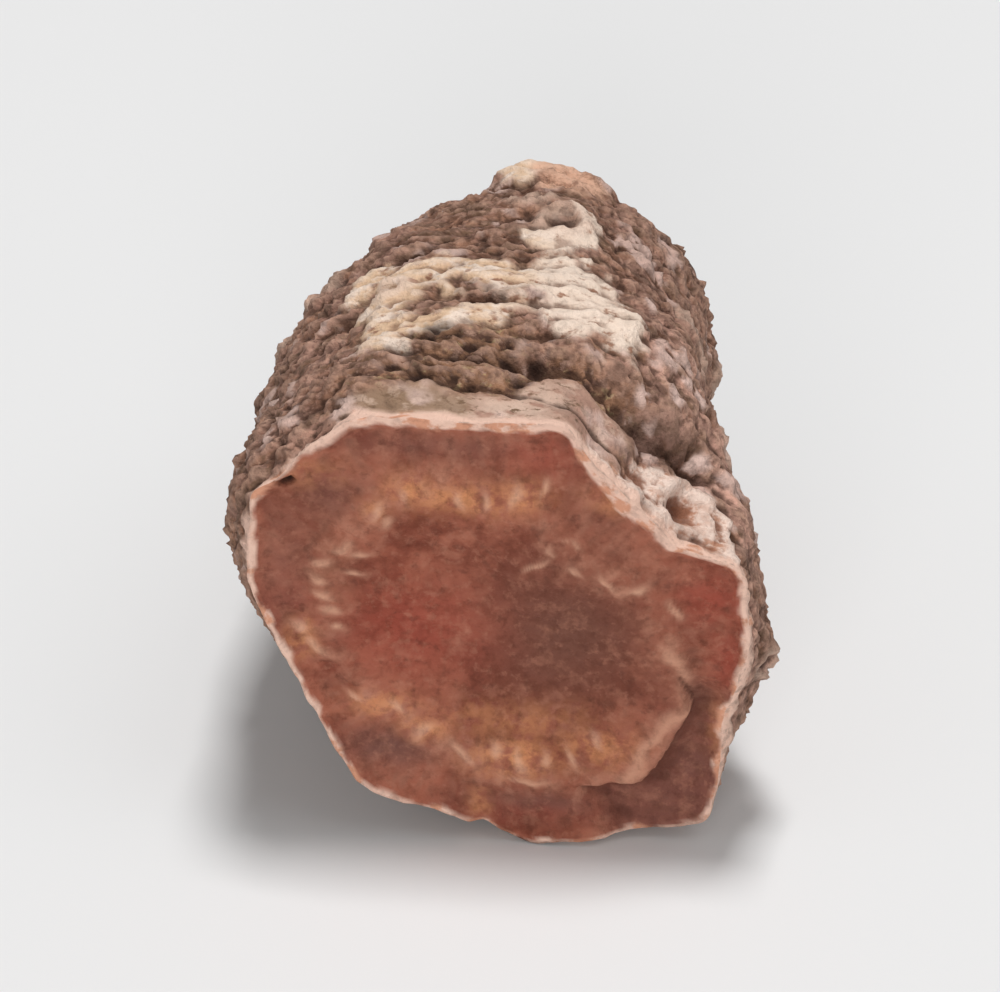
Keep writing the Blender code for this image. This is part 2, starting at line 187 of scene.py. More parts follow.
# Patches of colour on the fresh cut, as (across, height, half width, half height, strength)
RED_PATCHES = (
    (-3.9, 10.9, 3.4, 2.5, 1.0), (9.3, 13.3, 1.7, 1.5, 1.0), (10.0, 10.3, 0.8, 1.6, 1.0),
    (1.9, 20.3, 1.6, 1.2, 0.7), (-7.9, 12.2, 2.4, 1.6, 0.4), (1.0, 1.5, 2.6, 0.5, 0.5),
)
BROWN_PATCHES = (
    (2.7, 11.0, 4.3, 4.3, 1.0), (4.4, 17.3, 1.6, 1.5, 0.5), (-7.4, 13.4, 1.5, 2.4, 0.45),
)
PLUM_PATCHES = (
    (-4.8, 4.8, 2.4, 1.1, 1.0), (8.3, 4.2, 1.8, 2.8, 0.8), (1.8, 2.1, 3.0, 0.8, 0.8),
    (-7.6, 18.2, 1.6, 1.1, 0.7), (-2.4, 20.7, 4.4, 0.7, 0.5), (-9.6, 13.6, 1.3, 3.2, 0.45),
)
ORANGE_PATCHES = (
    (-3.95, 18.4, 1.0, 0.8, 1.0), (-1.6, 18.1, 2.6, 0.8, 0.95), (0.9, 18.4, 1.2, 0.7, 0.9),
    (-5.5, 17.3, 0.6, 0.6, 0.6), (-8.8, 10.4, 0.7, 0.9, 0.9), (-5.2, 7.0, 1.5, 0.7, 0.8),
    (-3.3, 5.9, 1.0, 0.6, 0.9), (0.7, 4.6, 2.1, 1.0, 1.0), (4.2, 5.2, 2.0, 1.0, 0.75),
    (-7.5, 13.4, 1.0, 1.8, 0.1), (-1.0, 6.6, 2.6, 0.8, 0.45), (9.6, 6.2, 0.6, 1.4, 0.6),
    (5.3, 18.3, 1.3, 0.6, 0.7), (-8.3, 18.9, 1.6, 0.8, 0.4), (-0.9, 1.9, 0.5, 0.9, 0.7),
    (1.0, 6.3, 3.2, 1.0, 0.55),
)

# Pale fibre ends on the fresh cut, as (across, height, half length, half width, tilt)
FIBRE_ENDS = (
    (-6.9, 15.2, 0.4, 0.2, 24.0), (-7.8, 14.4, 0.4, 0.17, 12.0), (-8.0, 13.55, 0.42, 0.19, -26.0),
    (-7.8, 12.75, 0.5, 0.19, -30.0), (-7.4, 12.0, 0.42, 0.17, -12.0), (-7.1, 11.1, 0.36, 0.16, -25.0),
    (-6.1, 14.9, 0.4, 0.17, 10.0), (-6.4, 13.9, 0.4, 0.15, -10.0), (-8.9, 10.9, 0.5, 0.2, -40.0),
    (-8.2, 10.0, 0.45, 0.2, -35.0), (-5.0, 16.6, 0.35, 0.18, 40.0),
    (-5.4, 17.2, 0.45, 0.2, 55.0), (-4.3, 18.1, 0.35, 0.16, 100.0), (-1.8, 18.0, 0.42, 0.15, 95.0),
    (-0.6, 18.1, 0.4, 0.15, 85.0), (0.7, 18.4, 0.5, 0.2, 80.0), (2.0, 18.8, 0.45, 0.14, 60.0),
    (1.6, 14.8, 0.5, 0.13, 30.0), (3.3, 14.6, 0.4, 0.12, -40.0), (4.7, 14.1, 0.5, 0.14, -55.0),
    (6.1, 13.7, 0.35, 0.16, 10.0), (7.6, 12.6, 0.5, 0.15, -62.0), (-6.4, 7.4, 0.4, 0.14, -30.0),
    (-4.6, 6.9, 0.4, 0.2, -40.0), (-3.4, 5.9, 0.45, 0.22, 30.0), (-1.7, 4.7, 0.8, 0.16, -55.0),
    (-0.2, 4.9, 0.4, 0.2, -70.0), (0.9, 4.3, 0.55, 0.22, -80.0), (2.0, 4.6, 0.4, 0.18, -95.0),
    (3.2, 4.6, 0.5, 0.15, -75.0), (4.3, 5.6, 0.45, 0.15, -60.0), (1.2, 3.3, 0.8, 0.16, -10.0),
)
FIBRE_LOOP = {"across": 2.85, "height": 15.6, "radius": 0.68, "half_width": 0.15}
CORNER_HOLE = (-9.3, 18.6, 0.32)
CHIP_RIDGE = ((7.5, 10.6), (8.4, 9.0), (8.3, 7.5), (7.0, 6.4), (6.1, 4.4), (5.3, 2.8))
CHIP_RIDGE_WIDTH = 0.3
CHIP_RIDGE_HEIGHT = 0.16
HOLE_DEPTH = 0.6
FIBRE_HEIGHT = 0.10

# Fineness of the skin, and the slots of its materials
COLUMNS = 400
CUT_RINGS = 64
BARK_ROWS = 150
REAR_RINGS = 34
BARK, FLESH, OLD_CUT = range(3)

# Kinds of sockets of the shader node groups
NUMBER, COLOUR = "NodeSocketFloat", "NodeSocketColor"

# The photograph's view: degrees, and millimetres from the stub
CAMERA_AZIMUTH = 5.0
CAMERA_ELEVATION = 33.0
CAMERA_DISTANCE = 480.0
CAMERA_FIELD = 45.0
CAMERA_AIM = (-0.72, -3.36, 10.5)
CAMERA_SENSOR = 36.0
CAMERA_NEAR = 10.0

# The studio, in metres and watts; soft lights as (name, azimuth, elevation, distance, size, power)
FLOOR_SIZE = 3.0
FLOOR_ROUGHNESS = 0.9
SURROUND_STRENGTH = 0.22
SOFT_LIGHTS = (
    ("left_softbox", -60.0, 30.0, 0.7, 0.6, 0.15),
    ("right_softbox", 70.0, 60.0, 0.7, 0.45, 0.5),
    ("front_softbox", 0.0, 18.0, 0.7, 0.3, 1.7),
    ("overhead", 165.0, 84.0, 0.6, 0.14, 2.28),
)


def smoothstep(low, high, value):
    share = np.clip((value - low) / (high - low), 0.0, 1.0)
    return share * share * (3.0 - 2.0 * share)


def bell(distance, width):
    return np.exp(-((distance / width) ** 2))


def span(value, rise, fall):
    """One between the rise and the fall, zero past them, and eased on both."""
    return smoothstep(*rise, value) * smoothstep(*fall, value)


def turned(angle, centre):
    """Degrees from the centre angle to each angle, between -180 and 180."""
    return (angle - centre + 180.0) % 360.0 - 180.0


def noise_at(points, size, seed):
    """Smooth noise between about -1 and 1, with lumps of the given size."""
    shift = Vector((17.3 * seed, 5.1 * seed, 9.7 * seed))
    values = [noise.noise(Vector(point) + shift) for point in points.reshape(-1, 3) / size]
    return np.array(values).reshape(points.shape[:-1])


def layered(points, layers, start=0.0):
    """Layers of smooth noise, added to a start."""
    return sum((height * noise_at(points, size, seed) for height, size, seed in layers), start)


def cells_at(points, size, seed):
    """Distances from each point to the nearest and second nearest scattered centre, in cell sizes."""
    shift = Vector((3.1 * seed, 8.3 * seed, 5.9 * seed))
    found = [noise.voronoi(Vector(point) + shift)[0][:2] for point in points.reshape(-1, 3) / size]
    near, second = np.array(found).T
    return near.reshape(points.shape[:-1]), second.reshape(points.shape[:-1])


def granules_at(points, size, seed):
    """Round grains, 1 on their tops and below 0 at their feet, and the cracks between them."""
    near, second = cells_at(points, size, seed)
    return 1.0 - 1.9 * near**2, smoothstep(0.2, 0.02, second - near)


def wrinkles_at(points, size, seed):
    """Irregular wrinkles between about 0 and 1: sharp crests in some places and sharp creases in others."""
    folded = np.clip(2.2 * np.abs(noise_at(points, size, seed)), 0.0, 1.0)
    crested = smoothstep(-0.15, 0.15, noise_at(points, 2.5 * size, seed + 60))
    return crested * (1.0 - folded) + (1.0 - crested) * folded


def pushed(points, reach, size, seed):
    """Points pushed about by a smooth random reach, so that what is laid on them loses its order."""
    moves = [noise_at(points, size, seed + step) for step in (0, 23, 41)]
    return points + reach * np.stack(moves, axis=-1)


def crease(phase):
    """Zero on the round folds and one at the bottom of the sharp creases between them."""
    return (1.0 - np.abs(np.sin(np.pi * phase))) ** 2


def round_points(angle, radius, behind):
    """Points of the stub, with its axis over the origin."""
    across = radius * np.cos(np.radians(angle))
    height = AXIS_HEIGHT + radius * np.sin(np.radians(angle))
    return np.stack(np.broadcast_arrays(across, behind, height), axis=-1)


def away(angle, behind, radius, mark_angle, mark_behind):
    """Distances over the bark from a mark's centre, round the stub and along it."""
    return np.radians(turned(angle, mark_angle)) * radius, behind - mark_behind


def distance_from(mark, angle, behind, radius):
    """Distance over the bark from the centre of a named mark."""
    return np.hypot(*away(angle, behind, radius, mark["angle"], mark["behind"]))


def round_bell(mark, angle):
    """Strength of a named mark round the stub: one at its angle, fading over its spread."""
    return bell(turned(angle, mark["angle"]), mark["spread"])


def leg_distance(x, y, run_x, run_y):
    """Distance from a leg that starts at zero, and the share of the leg at its nearest point."""
    share = np.clip((x * run_x + y * run_y) / (run_x**2 + run_y**2), 0.0, 1.0)
    return np.hypot(x - share * run_x, y - share * run_y), share


def outline_radius(corners, angle):
    """Radius of a closed outline round the stub's axis, with its corners rounded."""
    corner = np.array(corners) - (0.0, AXIS_HEIGHT)
    along = np.linspace(0.0, 1.0, 24, endpoint=False)[:, None, None]
    line = (corner + (np.roll(corner, -1, axis=0) - corner) * along).reshape(-1, 2)
    turns = np.degrees(np.arctan2(line[:, 1], line[:, 0]))
    radii = np.hypot(line[:, 0], line[:, 1])
    order = np.argsort(turns)
    nearby = [
        np.interp(angle + offset, turns[order], radii[order], period=360.0)
        for offset in np.linspace(-CORNER_ROUNDING, CORNER_ROUNDING, 7)
    ]
    return np.mean(nearby, axis=0)


def section_radius(angle, behind):
    """Radius of the full bark section, a squarish oval with its own reach on each side."""
    table = np.array(SECTIONS)
    left, right, top, bottom, squareness = [
        np.mean([np.interp(behind + step, table[:, 0], column) for step in (-1.5, 0.0, 1.5)], axis=0)
        for column in table.T[1:]
    ]
    across = np.cos(np.radians(angle))
    up = np.sin(np.radians(angle))
    reach_across = np.where(across > 0.0, right, left)
    reach_up = np.where(up > 0.0, top - AXIS_HEIGHT, AXIS_HEIGHT - bottom)
    squareness = squareness + RIGHT_SQUARER * (across > 0.0)
    spread = (np.abs(across) / reach_across) ** squareness + (np.abs(up) / reach_up) ** squareness
    return spread ** (-1.0 / squareness)


def body_radius(angle, behind):
    """Radius of the bark without relief: the cut's outline swells into the full section."""
    left = np.clip(-np.cos(np.radians(angle)), 0.0, 1.0)
    top = np.clip(np.sin(np.radians(angle)), 0.0, 1.0)
    upper = smoothstep(-0.7, 0.2, np.sin(np.radians(angle)))
    swell = (SHOULDER_LEFT * left * upper + SHOULDER_TOP * top) * smoothstep(0.0, SHOULDER_RUN, behind)
    near_cut = outline_radius(CUT_OUTLINE, angle) + swell
    share = smoothstep(0.0, CUT_REACH, behind)
    hip = round_bell(HIP, angle) * bell(behind - HIP["behind"], HIP["length"])
    return (1.0 - share) * near_cut + share * section_radius(angle, behind) + HIP["height"] * hip


def root_scars():
    """Scars of fallen rootlets, each a crater or a broken stump."""
    draw = random.Random(41)
    scars = list(SEEN_SCARS)
    for index in range(SCAR_COUNT):
        place = (index + draw.uniform(-0.4, 0.4)) / SCAR_COUNT - 0.5
        behind = draw.uniform(7.0, 25.0)
        size = draw.uniform(0.7, 1.25)
        stump = draw.random() < STUMP_SHARE
        height = draw.uniform(0.45, 0.75) if stump else draw.uniform(0.25, 0.5)
        scars.append((-90.0 + SCAR_SWEEP * place, behind, size, height, 1.0 if stump else 0.15))
    return scars


def scar_relief(angle, behind, radius, ragged):
    """Relief of the scars, with masks of their pale rims and of the painted shade in their sunken middles.
    """
    relief = np.zeros_like(behind)
    pale = np.zeros_like(behind)
    dark = np.zeros_like(behind)
    for mark_angle, mark_behind, size, height, full in root_scars():
        distance = np.hypot(*away(angle, behind, radius, mark_angle, mark_behind)) + 0.25 * ragged
        relief += height * bell(distance - size, 0.45 * size) * (1.0 - 0.6 * full)
        relief -= 1.3 * height * bell(distance, 0.55 * size) * (1.0 - full)
        relief += height * full * smoothstep(1.25 * size, 0.6 * size, distance)
        pale = np.maximum(pale, bell(distance - size, 0.4 * size) + full * bell(distance, 0.8 * size))
        # Painted shade in the sunken middles of the craters, little on the stumps
        dark = np.maximum(dark, bell(distance, 0.4 * size) * (1.0 - 0.8 * full))
    return relief, np.clip(pale, 0.0, 1.0), dark


def collar_line(angle):
    """How far behind the cut the crease behind the smooth collar runs."""
    drop = smoothstep(72.0, 52.0, angle)
    line = COLLAR_CREASE["behind"] + 0.2 * np.sin(np.radians(11.0 * angle))
    return line + (COLLAR_CREASE["behind_at_notch"] - COLLAR_CREASE["behind"]) * drop


def single_marks(angle, behind, radius):
    """The crease behind the collar, the torn hollow at the notch, the slit and the rear knob."""
    strength = span(angle, *COLLAR_CREASE_SPAN)
    relief = -COLLAR_CREASE["depth"] * strength * bell(behind - collar_line(angle), COLLAR_CREASE["width"])
    around, along = away(angle, behind, radius, SLIT["angle"], SLIT["behind"])
    relief -= SLIT["depth"] * bell(around, SLIT["half_length"]) * bell(along, SLIT["half_width"])
    torn = distance_from(TORN_HOLLOW, angle, behind, radius)
    relief += TORN_HOLLOW["ring_height"] * bell(torn - TORN_HOLLOW["ring"], TORN_HOLLOW["ring_width"])
    relief -= TORN_HOLLOW["depth"] * bell(torn, TORN_HOLLOW["radius"])
    distance = distance_from(KNOB, angle, behind, radius)
    return relief + KNOB["height"] * np.exp(-((distance / KNOB["radius"]) ** 4))


def crust_mask(angle, behind, radius, points):
    """The pale crust that is left on the upper side, ragged at its edge and cut by the slit."""
    nearest = np.full_like(behind, np.inf)
    legs = [leg for path in CRUST_PATHS for leg in zip(path, path[1:])]
    for (angle_a, behind_a, width_a), (angle_b, behind_b, width_b) in legs:
        place = away(angle, behind, radius, angle_a, behind_a)
        distance, share = leg_distance(*place, *away(angle_b, behind_b, radius, angle_a, behind_a))
        nearest = np.minimum(nearest, distance / (width_a + (width_b - width_a) * share))
    around, along = away(angle, behind, radius, SLIT["angle"], SLIT["behind"])
    slit = bell(around, 1.3 * SLIT["half_length"]) * bell(along, 1.4 * SLIT["half_width"])
    return smoothstep(1.15, 0.65, nearest + layered(points, CRUST_RAGGED)) * (1.0 - slit)


def flake_mask(angle, behind, radius, points):
    """Small flakes of the crust on the rest of the bark, and the single pale flecks."""
    ragged = noise_at(points, 0.8, 54)
    cloud = noise_at(points, 2.4, 53) + 0.6 * ragged
    flakes = 0.7 * smoothstep(0.3, 0.55, cloud - 0.16 * (1.0 - span(angle, *FLAKE_SPAN)))
    for mark_angle, mark_behind, half_width in PALE_FLECKS:
        distance = np.hypot(*away(angle, behind, radius, mark_angle, mark_behind)) + 0.35 * ragged
        flakes = np.maximum(flakes, smoothstep(1.3 * half_width, 0.6 * half_width, distance))
    return flakes


def cream_mask(angle, behind, points):
    """The torn patch behind the notch."""
    angles, reach = np.array(CREAM_REACH).T
    past_edge = behind - np.interp(angle, angles, reach, left=-9.0, right=-9.0)
    return smoothstep(0.25, -0.15, past_edge + layered(points, CREAM_RAGGED))


def pit_marks(angle, behind, radius):
    """Small holes: many over the bark, and a cluster in the dark band in front of the crust."""
    draw = random.Random(77)
    pits = [[draw.uniform(*limits) for limits in ranges] for count, *ranges in PITS for _ in range(count)]
    depth = np.zeros_like(behind)
    for pit_angle, pit_behind, size in (*pits, *TORN_PITS):
        around, along = away(angle, behind, radius, pit_angle, pit_behind)
        depth = np.maximum(depth, bell(np.hypot(around, 1.25 * along), size) * (0.45 + size))
    return depth


def coarse_relief(angle, behind, points, wander, flutter, ripple):
    """Lumps, rings of creases, long folds and knuckles, as the solid has them."""
    strength = 0.65 + 0.45 * noise_at(points, 5.0, 3)
    rings = crease(behind / CREASE_PITCH + 0.75 * wander + 0.22 * flutter + 0.08 * ripple)
    folds = crease(angle * FOLD_COUNT / 360.0 + 1.2 * wander + 0.3 * flutter + 0.03 * behind)
    knuckle, _ = cells_at(points, KNUCKLE_SIZE, 5)
    broken = 0.55 + 0.45 * smoothstep(-0.25, 0.3, noise_at(points, 1.9, 48))
    relief = LUMP_HEIGHT * noise_at(points, LUMP_SIZE, 4) + KNUCKLE_HEIGHT * (0.5 - knuckle)
    relief -= CREASE_DEPTH * rings * np.clip(strength, 0.1, 1.2) * broken
    return relief - FOLD_DEPTH * folds * np.clip(1.2 - strength, 0.15, 1.0)


def collar_and_band(angle, behind, radius, flutter, ripple):
    """Masks of the smooth tan collar behind the cut and of the dark, pitted band behind it; the band's mask
    also holds a strip of painted shade just behind the torn patch.
    """
    behind_collar = behind - collar_line(angle) + 2.2 * smoothstep(80.0, 92.0, angle)
    over = span(angle, *COLLAR_SPAN)
    tan = over * smoothstep(0.1, -0.7, behind_collar + 0.5 + 0.6 * flutter + 0.4 * ripple)
    band = over * bell(behind_collar + 0.3 * flutter, 1.0)
    upper_left = span(angle, *UPPER_LEFT_SPAN) * smoothstep(-0.6, 0.2, behind_collar)
    band = np.maximum(band, upper_left * smoothstep(-0.5, 0.4, BAND_END - behind + 0.7 * flutter))
    around, along = away(angle, behind, radius, CREAM_SHADE["angle"], CREAM_SHADE["behind"])
    shade = bell(around, CREAM_SHADE["half_length"]) * bell(along + 0.2 * ripple, CREAM_SHADE["half_width"])
    return tan, np.maximum(band, shade)


def flank_mask(angle, behind):
    """The pinker bark of the right flank, which fades to the rear, and of the upper left flank."""
    right = smoothstep(84.0, 50.0, np.abs(angle)) * (0.35 + 0.65 * smoothstep(17.0, 10.0, behind))
    return np.maximum(right, 0.5 * span(angle, *LEFT_FLANK_SPAN))


def fine_relief(angle, behind, points, noises, covers):
    """Fine creases, folds, wrinkles and grit that the solid has too few faces for, and a mask of their
    cracks and creases and of the collar's crease, where shade is painted.
    """
    wander, flutter, ripple = noises
    smooth, crust, cream, pits = covers
    left = smoothstep(105.0, 140.0, np.abs(angle))
    fine_rings = crease(behind / FINE_CREASE_PITCH + 1.5 * wander + 0.5 * flutter + 0.4 * ripple)
    fine_folds = crease(angle * FINE_FOLD_COUNT / 360.0 + 2.2 * wander + 0.8 * flutter + 0.5 * ripple)
    patchy = np.clip(0.6 + 0.9 * noise_at(points, 2.6, 44), 0.0, 1.0)
    rough = (1.0 - 0.8 * smooth) * (1.0 - 0.4 * crust)
    fine = -FINE_CREASE_DEPTH * fine_rings * (0.35 + 0.65 * left) * patchy
    fine -= FINE_FOLD_DEPTH * fine_folds * (1.1 - patchy)
    disordered = pushed(points, 0.9, 1.8, 40) * (1.0, 1.9, 1.0)
    cracks = np.zeros_like(behind)
    for size, height, seed in WRINKLES:
        wrinkle = wrinkles_at(disordered, size, seed)
        fine += height * (wrinkle - 0.5 + 0.7 * noise_at(disordered, 0.8 * size, seed + 90)) * rough
        cracks = np.maximum(cracks, smoothstep(0.2, 0.02, wrinkle) * (0.35 + 0.65 * patchy))
    grit, grit_crack = granules_at(disordered, GRIT_SIZE, 43)
    fine += GRIT_HEIGHT * (grit - 0.6) * rough
    fine += 0.05 * noise_at(points, 0.45, 45)
    fine += crust * (0.14 + 0.14 * noise_at(points, 0.9, 46))
    fine += cream * CREAM_HEIGHT * (0.4 + noise_at(points, 1.0, 47) + 0.5 * noise_at(points, 0.5, 57))
    fine -= PIT_DEPTH * pits
    cracks = np.maximum(cracks, 0.5 * grit_crack) * rough
    # Painted shade in the crease behind the collar joins the cracks
    groove = span(angle, *GROOVE_SPAN) * bell(behind - collar_line(angle) + 0.3 * ripple, GROOVE_WIDTH)
    cracks = np.maximum(cracks, groove)
    return fine, np.clip(cracks + 0.5 * fine_rings * left * patchy, 0.0, 1.0)


def bark_surface(angle, behind, points, radius):
    """How far the bark stands out from the plain body, and its colour masks."""
    wander = noise_at(points, 8.0, 1)
    flutter = noise_at(points, 3.0, 2)
    ripple = noise_at(points, 1.1, 41)
    relief = coarse_relief(angle, behind, points, wander, flutter, ripple)
    scars, scar_pale, scar_dark = scar_relief(angle, behind, radius, ripple)
    relief += scars
    collar = round_bell(SMOOTH_COLLAR, angle)
    relief *= smoothstep(0.0, SMOOTH_RIM + (SMOOTH_COLLAR["length"] - SMOOTH_RIM) * collar, behind)
    relief += single_marks(angle, behind, radius) * smoothstep(0.0, 1.5, behind)

    tan, band = collar_and_band(angle, behind, radius, flutter, ripple)
    crust = crust_mask(angle, behind, radius, points)
    cream = cream_mask(angle, behind, points)
    smooth = np.clip(tan + 0.6 * cream, 0.0, 1.0)
    pits = pit_marks(angle, behind, radius) * (1.0 - 0.8 * tan)
    noises = (wander, flutter, ripple)
    fine, cracks = fine_relief(angle, behind, points, noises, (smooth, crust, cream, pits))
    relief += fine * smoothstep(0.0, 0.6, behind) * (1.0 - 0.3 * tan)
    torn = distance_from(TORN_HOLLOW, angle, behind, radius) + 0.25 * ripple
    tip = distance_from(TIP_PATCH, angle, behind, radius) / TIP_PATCH["radius"] + 0.5 * ripple
    masks = {
        "crust": crust,
        "right_crust": smoothstep(100.0, 82.0, angle + 6.0 * flutter),
        "left_collar": smoothstep(90.0, 102.0, angle + 5.0 * flutter),
        "mid_collar": bell(angle - 88.0 + 4.0 * flutter, 9.0),
        "flake": flake_mask(angle, behind, radius, points) * (1.0 - band),
        "cream": cream,
        "tan": tan,
        "tip": smoothstep(1.0, 0.5, tip),
        "band": band,
        "flank": flank_mask(angle, behind),
        "smooth": np.clip(smooth + 0.6 * crust, 0.0, 1.0),
        "scar_pale": scar_pale,
        # Painted shade in the scar middles and in the pits
        "scar_dark": np.clip(scar_dark + 1.1 * pits, 0.0, 1.0),
        "torn": bell(torn, TORN_HOLLOW["radius"]),
        # Cracks and creases, where shade is painted
        "cracks": cracks,
        # Pale rim behind the cut, partly painted highlight along the edge
        "edge": smoothstep(0.75, 0.35, behind + 0.4 * ripple),
    }
    return relief, masks


def stand_on_feet(angle, behind, radius):
    """Keeps the underside off the ground, except at the three low points."""
    down = np.clip(-np.sin(np.radians(angle)), 0.05, 1.0)
    radius = np.minimum(radius, (AXIS_HEIGHT - UNDERSIDE_CLEARANCE) / down)
    for foot_angle, foot_behind, reach, width in FEET:
        distance = np.hypot(*away(angle, behind, reach, foot_angle, foot_behind))
        share = np.minimum(1.25 * bell(distance, width), 1.0)
        radius = radius + np.clip(reach - radius, 0.0, None) * share
    return radius


def bundles():
    """Vascular bundles of the fresh cut, as (angle, offset from their line, length, height)."""
    draw = random.Random(7)
    found = []
    for index in range(BUNDLE_COUNT):
        angle = (index + draw.uniform(-0.3, 0.3)) * 360.0 / BUNDLE_COUNT
        height = BUNDLE_HEIGHT * draw.uniform(0.35, 1.0)
        found.append((angle, draw.uniform(-0.35, 0.35), draw.uniform(0.5, 0.95), height))
    return found


def patches(across, height, marks):
    """Soft oval patches laid over each other."""
    total = np.zeros_like(across)
    for mark_across, mark_height, half_width, half_height, strength in marks:
        distance = np.hypot((across - mark_across) / half_width, (height - mark_height) / half_height)
        total = np.maximum(total, strength * bell(distance, 1.0))
    return total


def strokes(across, height, marks):
    """Short soft strokes."""
    total = np.zeros_like(across)
    for mark_across, mark_height, half_length, half_width, tilt in marks:
        turn = math.radians(tilt)
        x, z = across - mark_across, height - mark_height
        along = x * math.cos(turn) + z * math.sin(turn)
        aside = z * math.cos(turn) - x * math.sin(turn)
        total = np.maximum(total, bell(along, half_length) * bell(aside, half_width))
    return total


def ridge(across, height, path, width):
    """Soft line along a path."""
    nearest = np.full_like(across, np.inf)
    for (x_a, z_a), (x_b, z_b) in zip(path, path[1:]):
        distance, _ = leg_distance(across - x_a, height - z_a, x_b - x_a, z_b - z_a)
        nearest = np.minimum(nearest, distance)
    return bell(nearest, width)


def with_bundle_ends(recess, angle, radius, line, patchy):
    """Recess of the fresh cut with the bundle ends standing out of it, and their mask."""
    bundle = np.zeros_like(recess)
    for bundle_angle, offset, length, height in bundles():
        around = np.radians(turned(angle, bundle_angle)) * radius
        shape = bell(around, BUNDLE_WIDTH) * bell(radius - line - offset, length)
        recess = recess - height * shape * (0.25 + 0.75 * patchy)
        bundle = np.maximum(bundle, shape * height / BUNDLE_HEIGHT)
    return recess, bundle


def chip_mask(angle, within, points):
    """The chip that is broken out at the lower right of the fresh cut."""
    start, end = CHIP["from"], CHIP["to"]
    chipped = span(angle, (start - 5.0, start + 5.0), (end + 8.0, end - 8.0))
    torn_edge = 0.25 + 0.5 * noise_at(points, 1.6, 14)
    return chipped * smoothstep(0.0, 0.3, -within - torn_edge)


def cut_surface(angle, radius, rim, points):
    """How far the fresh cut lies behind its own plane, and its colour masks."""
    inset = rim - radius
    line = outline_radius(BUNDLE_LINE, angle)
    within = line - radius
    recess = layered(points, CUT_WAVES)
    recess -= LIP_HEIGHT * bell(inset, LIP_WIDTH)
    recess += CORTEX_SINK * smoothstep(0.3, 1.1, inset) * smoothstep(0.4, 1.2, -within)
    recess += PITH_DISH * smoothstep(0.8, 6.0, within)
    recess += 0.12 * np.abs(noise_at(points, 1.1, 13)) * smoothstep(0.5, 1.5, within)
    patchy = smoothstep(-0.35, 0.45, noise_at(points, 2.8, 68))
    recess, bundle = with_bundle_ends(recess, angle, radius, line, patchy)
    chip = chip_mask(angle, within, points)
    recess += CHIP["depth"] * chip

    ripple = noise_at(points, 0.9, 61)
    shiver = noise_at(points, 0.42, 64)
    bent = points + np.stack([ripple, 0.0 * ripple, np.roll(ripple, 7, axis=1)], axis=-1) * 0.28
    across, height = bent[..., 0], bent[..., 2]
    fibre = strokes(across, height, FIBRE_ENDS)
    loop = np.hypot(across - FIBRE_LOOP["across"], height - FIBRE_LOOP["height"]) - FIBRE_LOOP["radius"]
    loop = 0.6 * bell(loop, FIBRE_LOOP["half_width"]) * smoothstep(-0.3, 0.3, ripple + shiver)
    fibre = np.maximum(fibre, loop)
    torn_ridge = ridge(across, height, CHIP_RIDGE, CHIP_RIDGE_WIDTH) * (1.0 - chip)
    turns = np.radians(angle) + 0.0 * radius
    stretched = np.stack([0.3 * radius, 17.0 * np.sin(turns), 17.0 * np.cos(turns)], axis=-1)
    rays = noise_at(stretched + 0.4 * ripple[..., None], 0.55, 63)
    pith = smoothstep(0.2, 1.8, within + 0.5 * ripple)
    cortex = (1.0 - pith) * smoothstep(0.3, 1.0, inset)
    grit, grit_crack = granules_at(points, 0.8, 62)
    hole_across, hole_height, hole_size = CORNER_HOLE
    hole = np.hypot(across - hole_across, 1.5 * (height - hole_height)) + 0.25 * shiver
    hole = smoothstep(1.6 * hole_size, 0.3 * hole_size, hole)
    recess += HOLE_DEPTH * hole - FIBRE_HEIGHT * fibre - CHIP_RIDGE_HEIGHT * torn_ridge
    recess += 0.06 * ripple + 0.04 * shiver + 0.05 * rays * cortex - 0.05 * grit * pith
    ring_share = (0.3 + 0.7 * patchy) * smoothstep(178.0, 140.0, np.abs(angle))
    masks = {
        "fibre": np.clip(fibre + 0.75 * torn_ridge + 0.35 * bundle * patchy, 0.0, 1.0),
        "orange": patches(across, height, ORANGE_PATCHES),
        "red": patches(across, height, RED_PATCHES),
        "brown": patches(across, height, BROWN_PATCHES),
        "plum": np.maximum(patches(across, height, PLUM_PATCHES), 0.7 * chip),
        "ring": bell(within + 0.3 * ripple, 1.0) * ring_share,
        "rays": np.clip(0.5 + 0.9 * rays, 0.0, 1.0) * cortex,
        # Cracks between the grains of the pith, where shade is painted
        "cracks": grit_crack * pith,
        # Pale rim of the cut, partly painted highlight along the edge
        "edge": smoothstep(0.16, -0.06, inset - rim_width(angle) + 0.3 * ripple),
        # Painted shade in the small hole at the left corner
        "hole": hole,
    }
    return recess, masks


def rim_width(angle):
    """Width of the pale rim round the fresh cut, which is partly painted highlight along the edge: widest at
    the top and at the notch.
    """
    width = 0.24 + 0.2 * np.sin(np.radians(angle)) + 0.4 * bell(angle - 56.0, 12.0)
    return width - 0.26 * bell(angle - 137.0, 13.0)


def rim_nicks(angle):
    """Small unevenness of the fresh cut's outline, a nick at the bottom and a flap at the left."""
    plain = outline_radius(CUT_OUTLINE, angle)
    uneven = layered(round_points(angle, plain, 0.0), CUT_RIM_UNEVEN)
    uneven -= NICK["depth"] * round_bell(NICK, angle)
    return uneven + FLAP["height"] * round_bell(FLAP, angle)


def cut_rows(angle):
    """Rings of the fresh cut, from its middle out to the rim."""
    rim = outline_radius(CUT_OUTLINE, angle) + rim_nicks(angle)
    share = np.linspace(0.0, 1.0, CUT_RINGS + 1)[1:, None]
    radius = share * rim
    recess, masks = cut_surface(angle, radius, rim, round_points(angle, radius, 0.0))
    masks["hollow"] = hollow(-recess, 0.3)
    return round_points(angle, radius, recess), masks


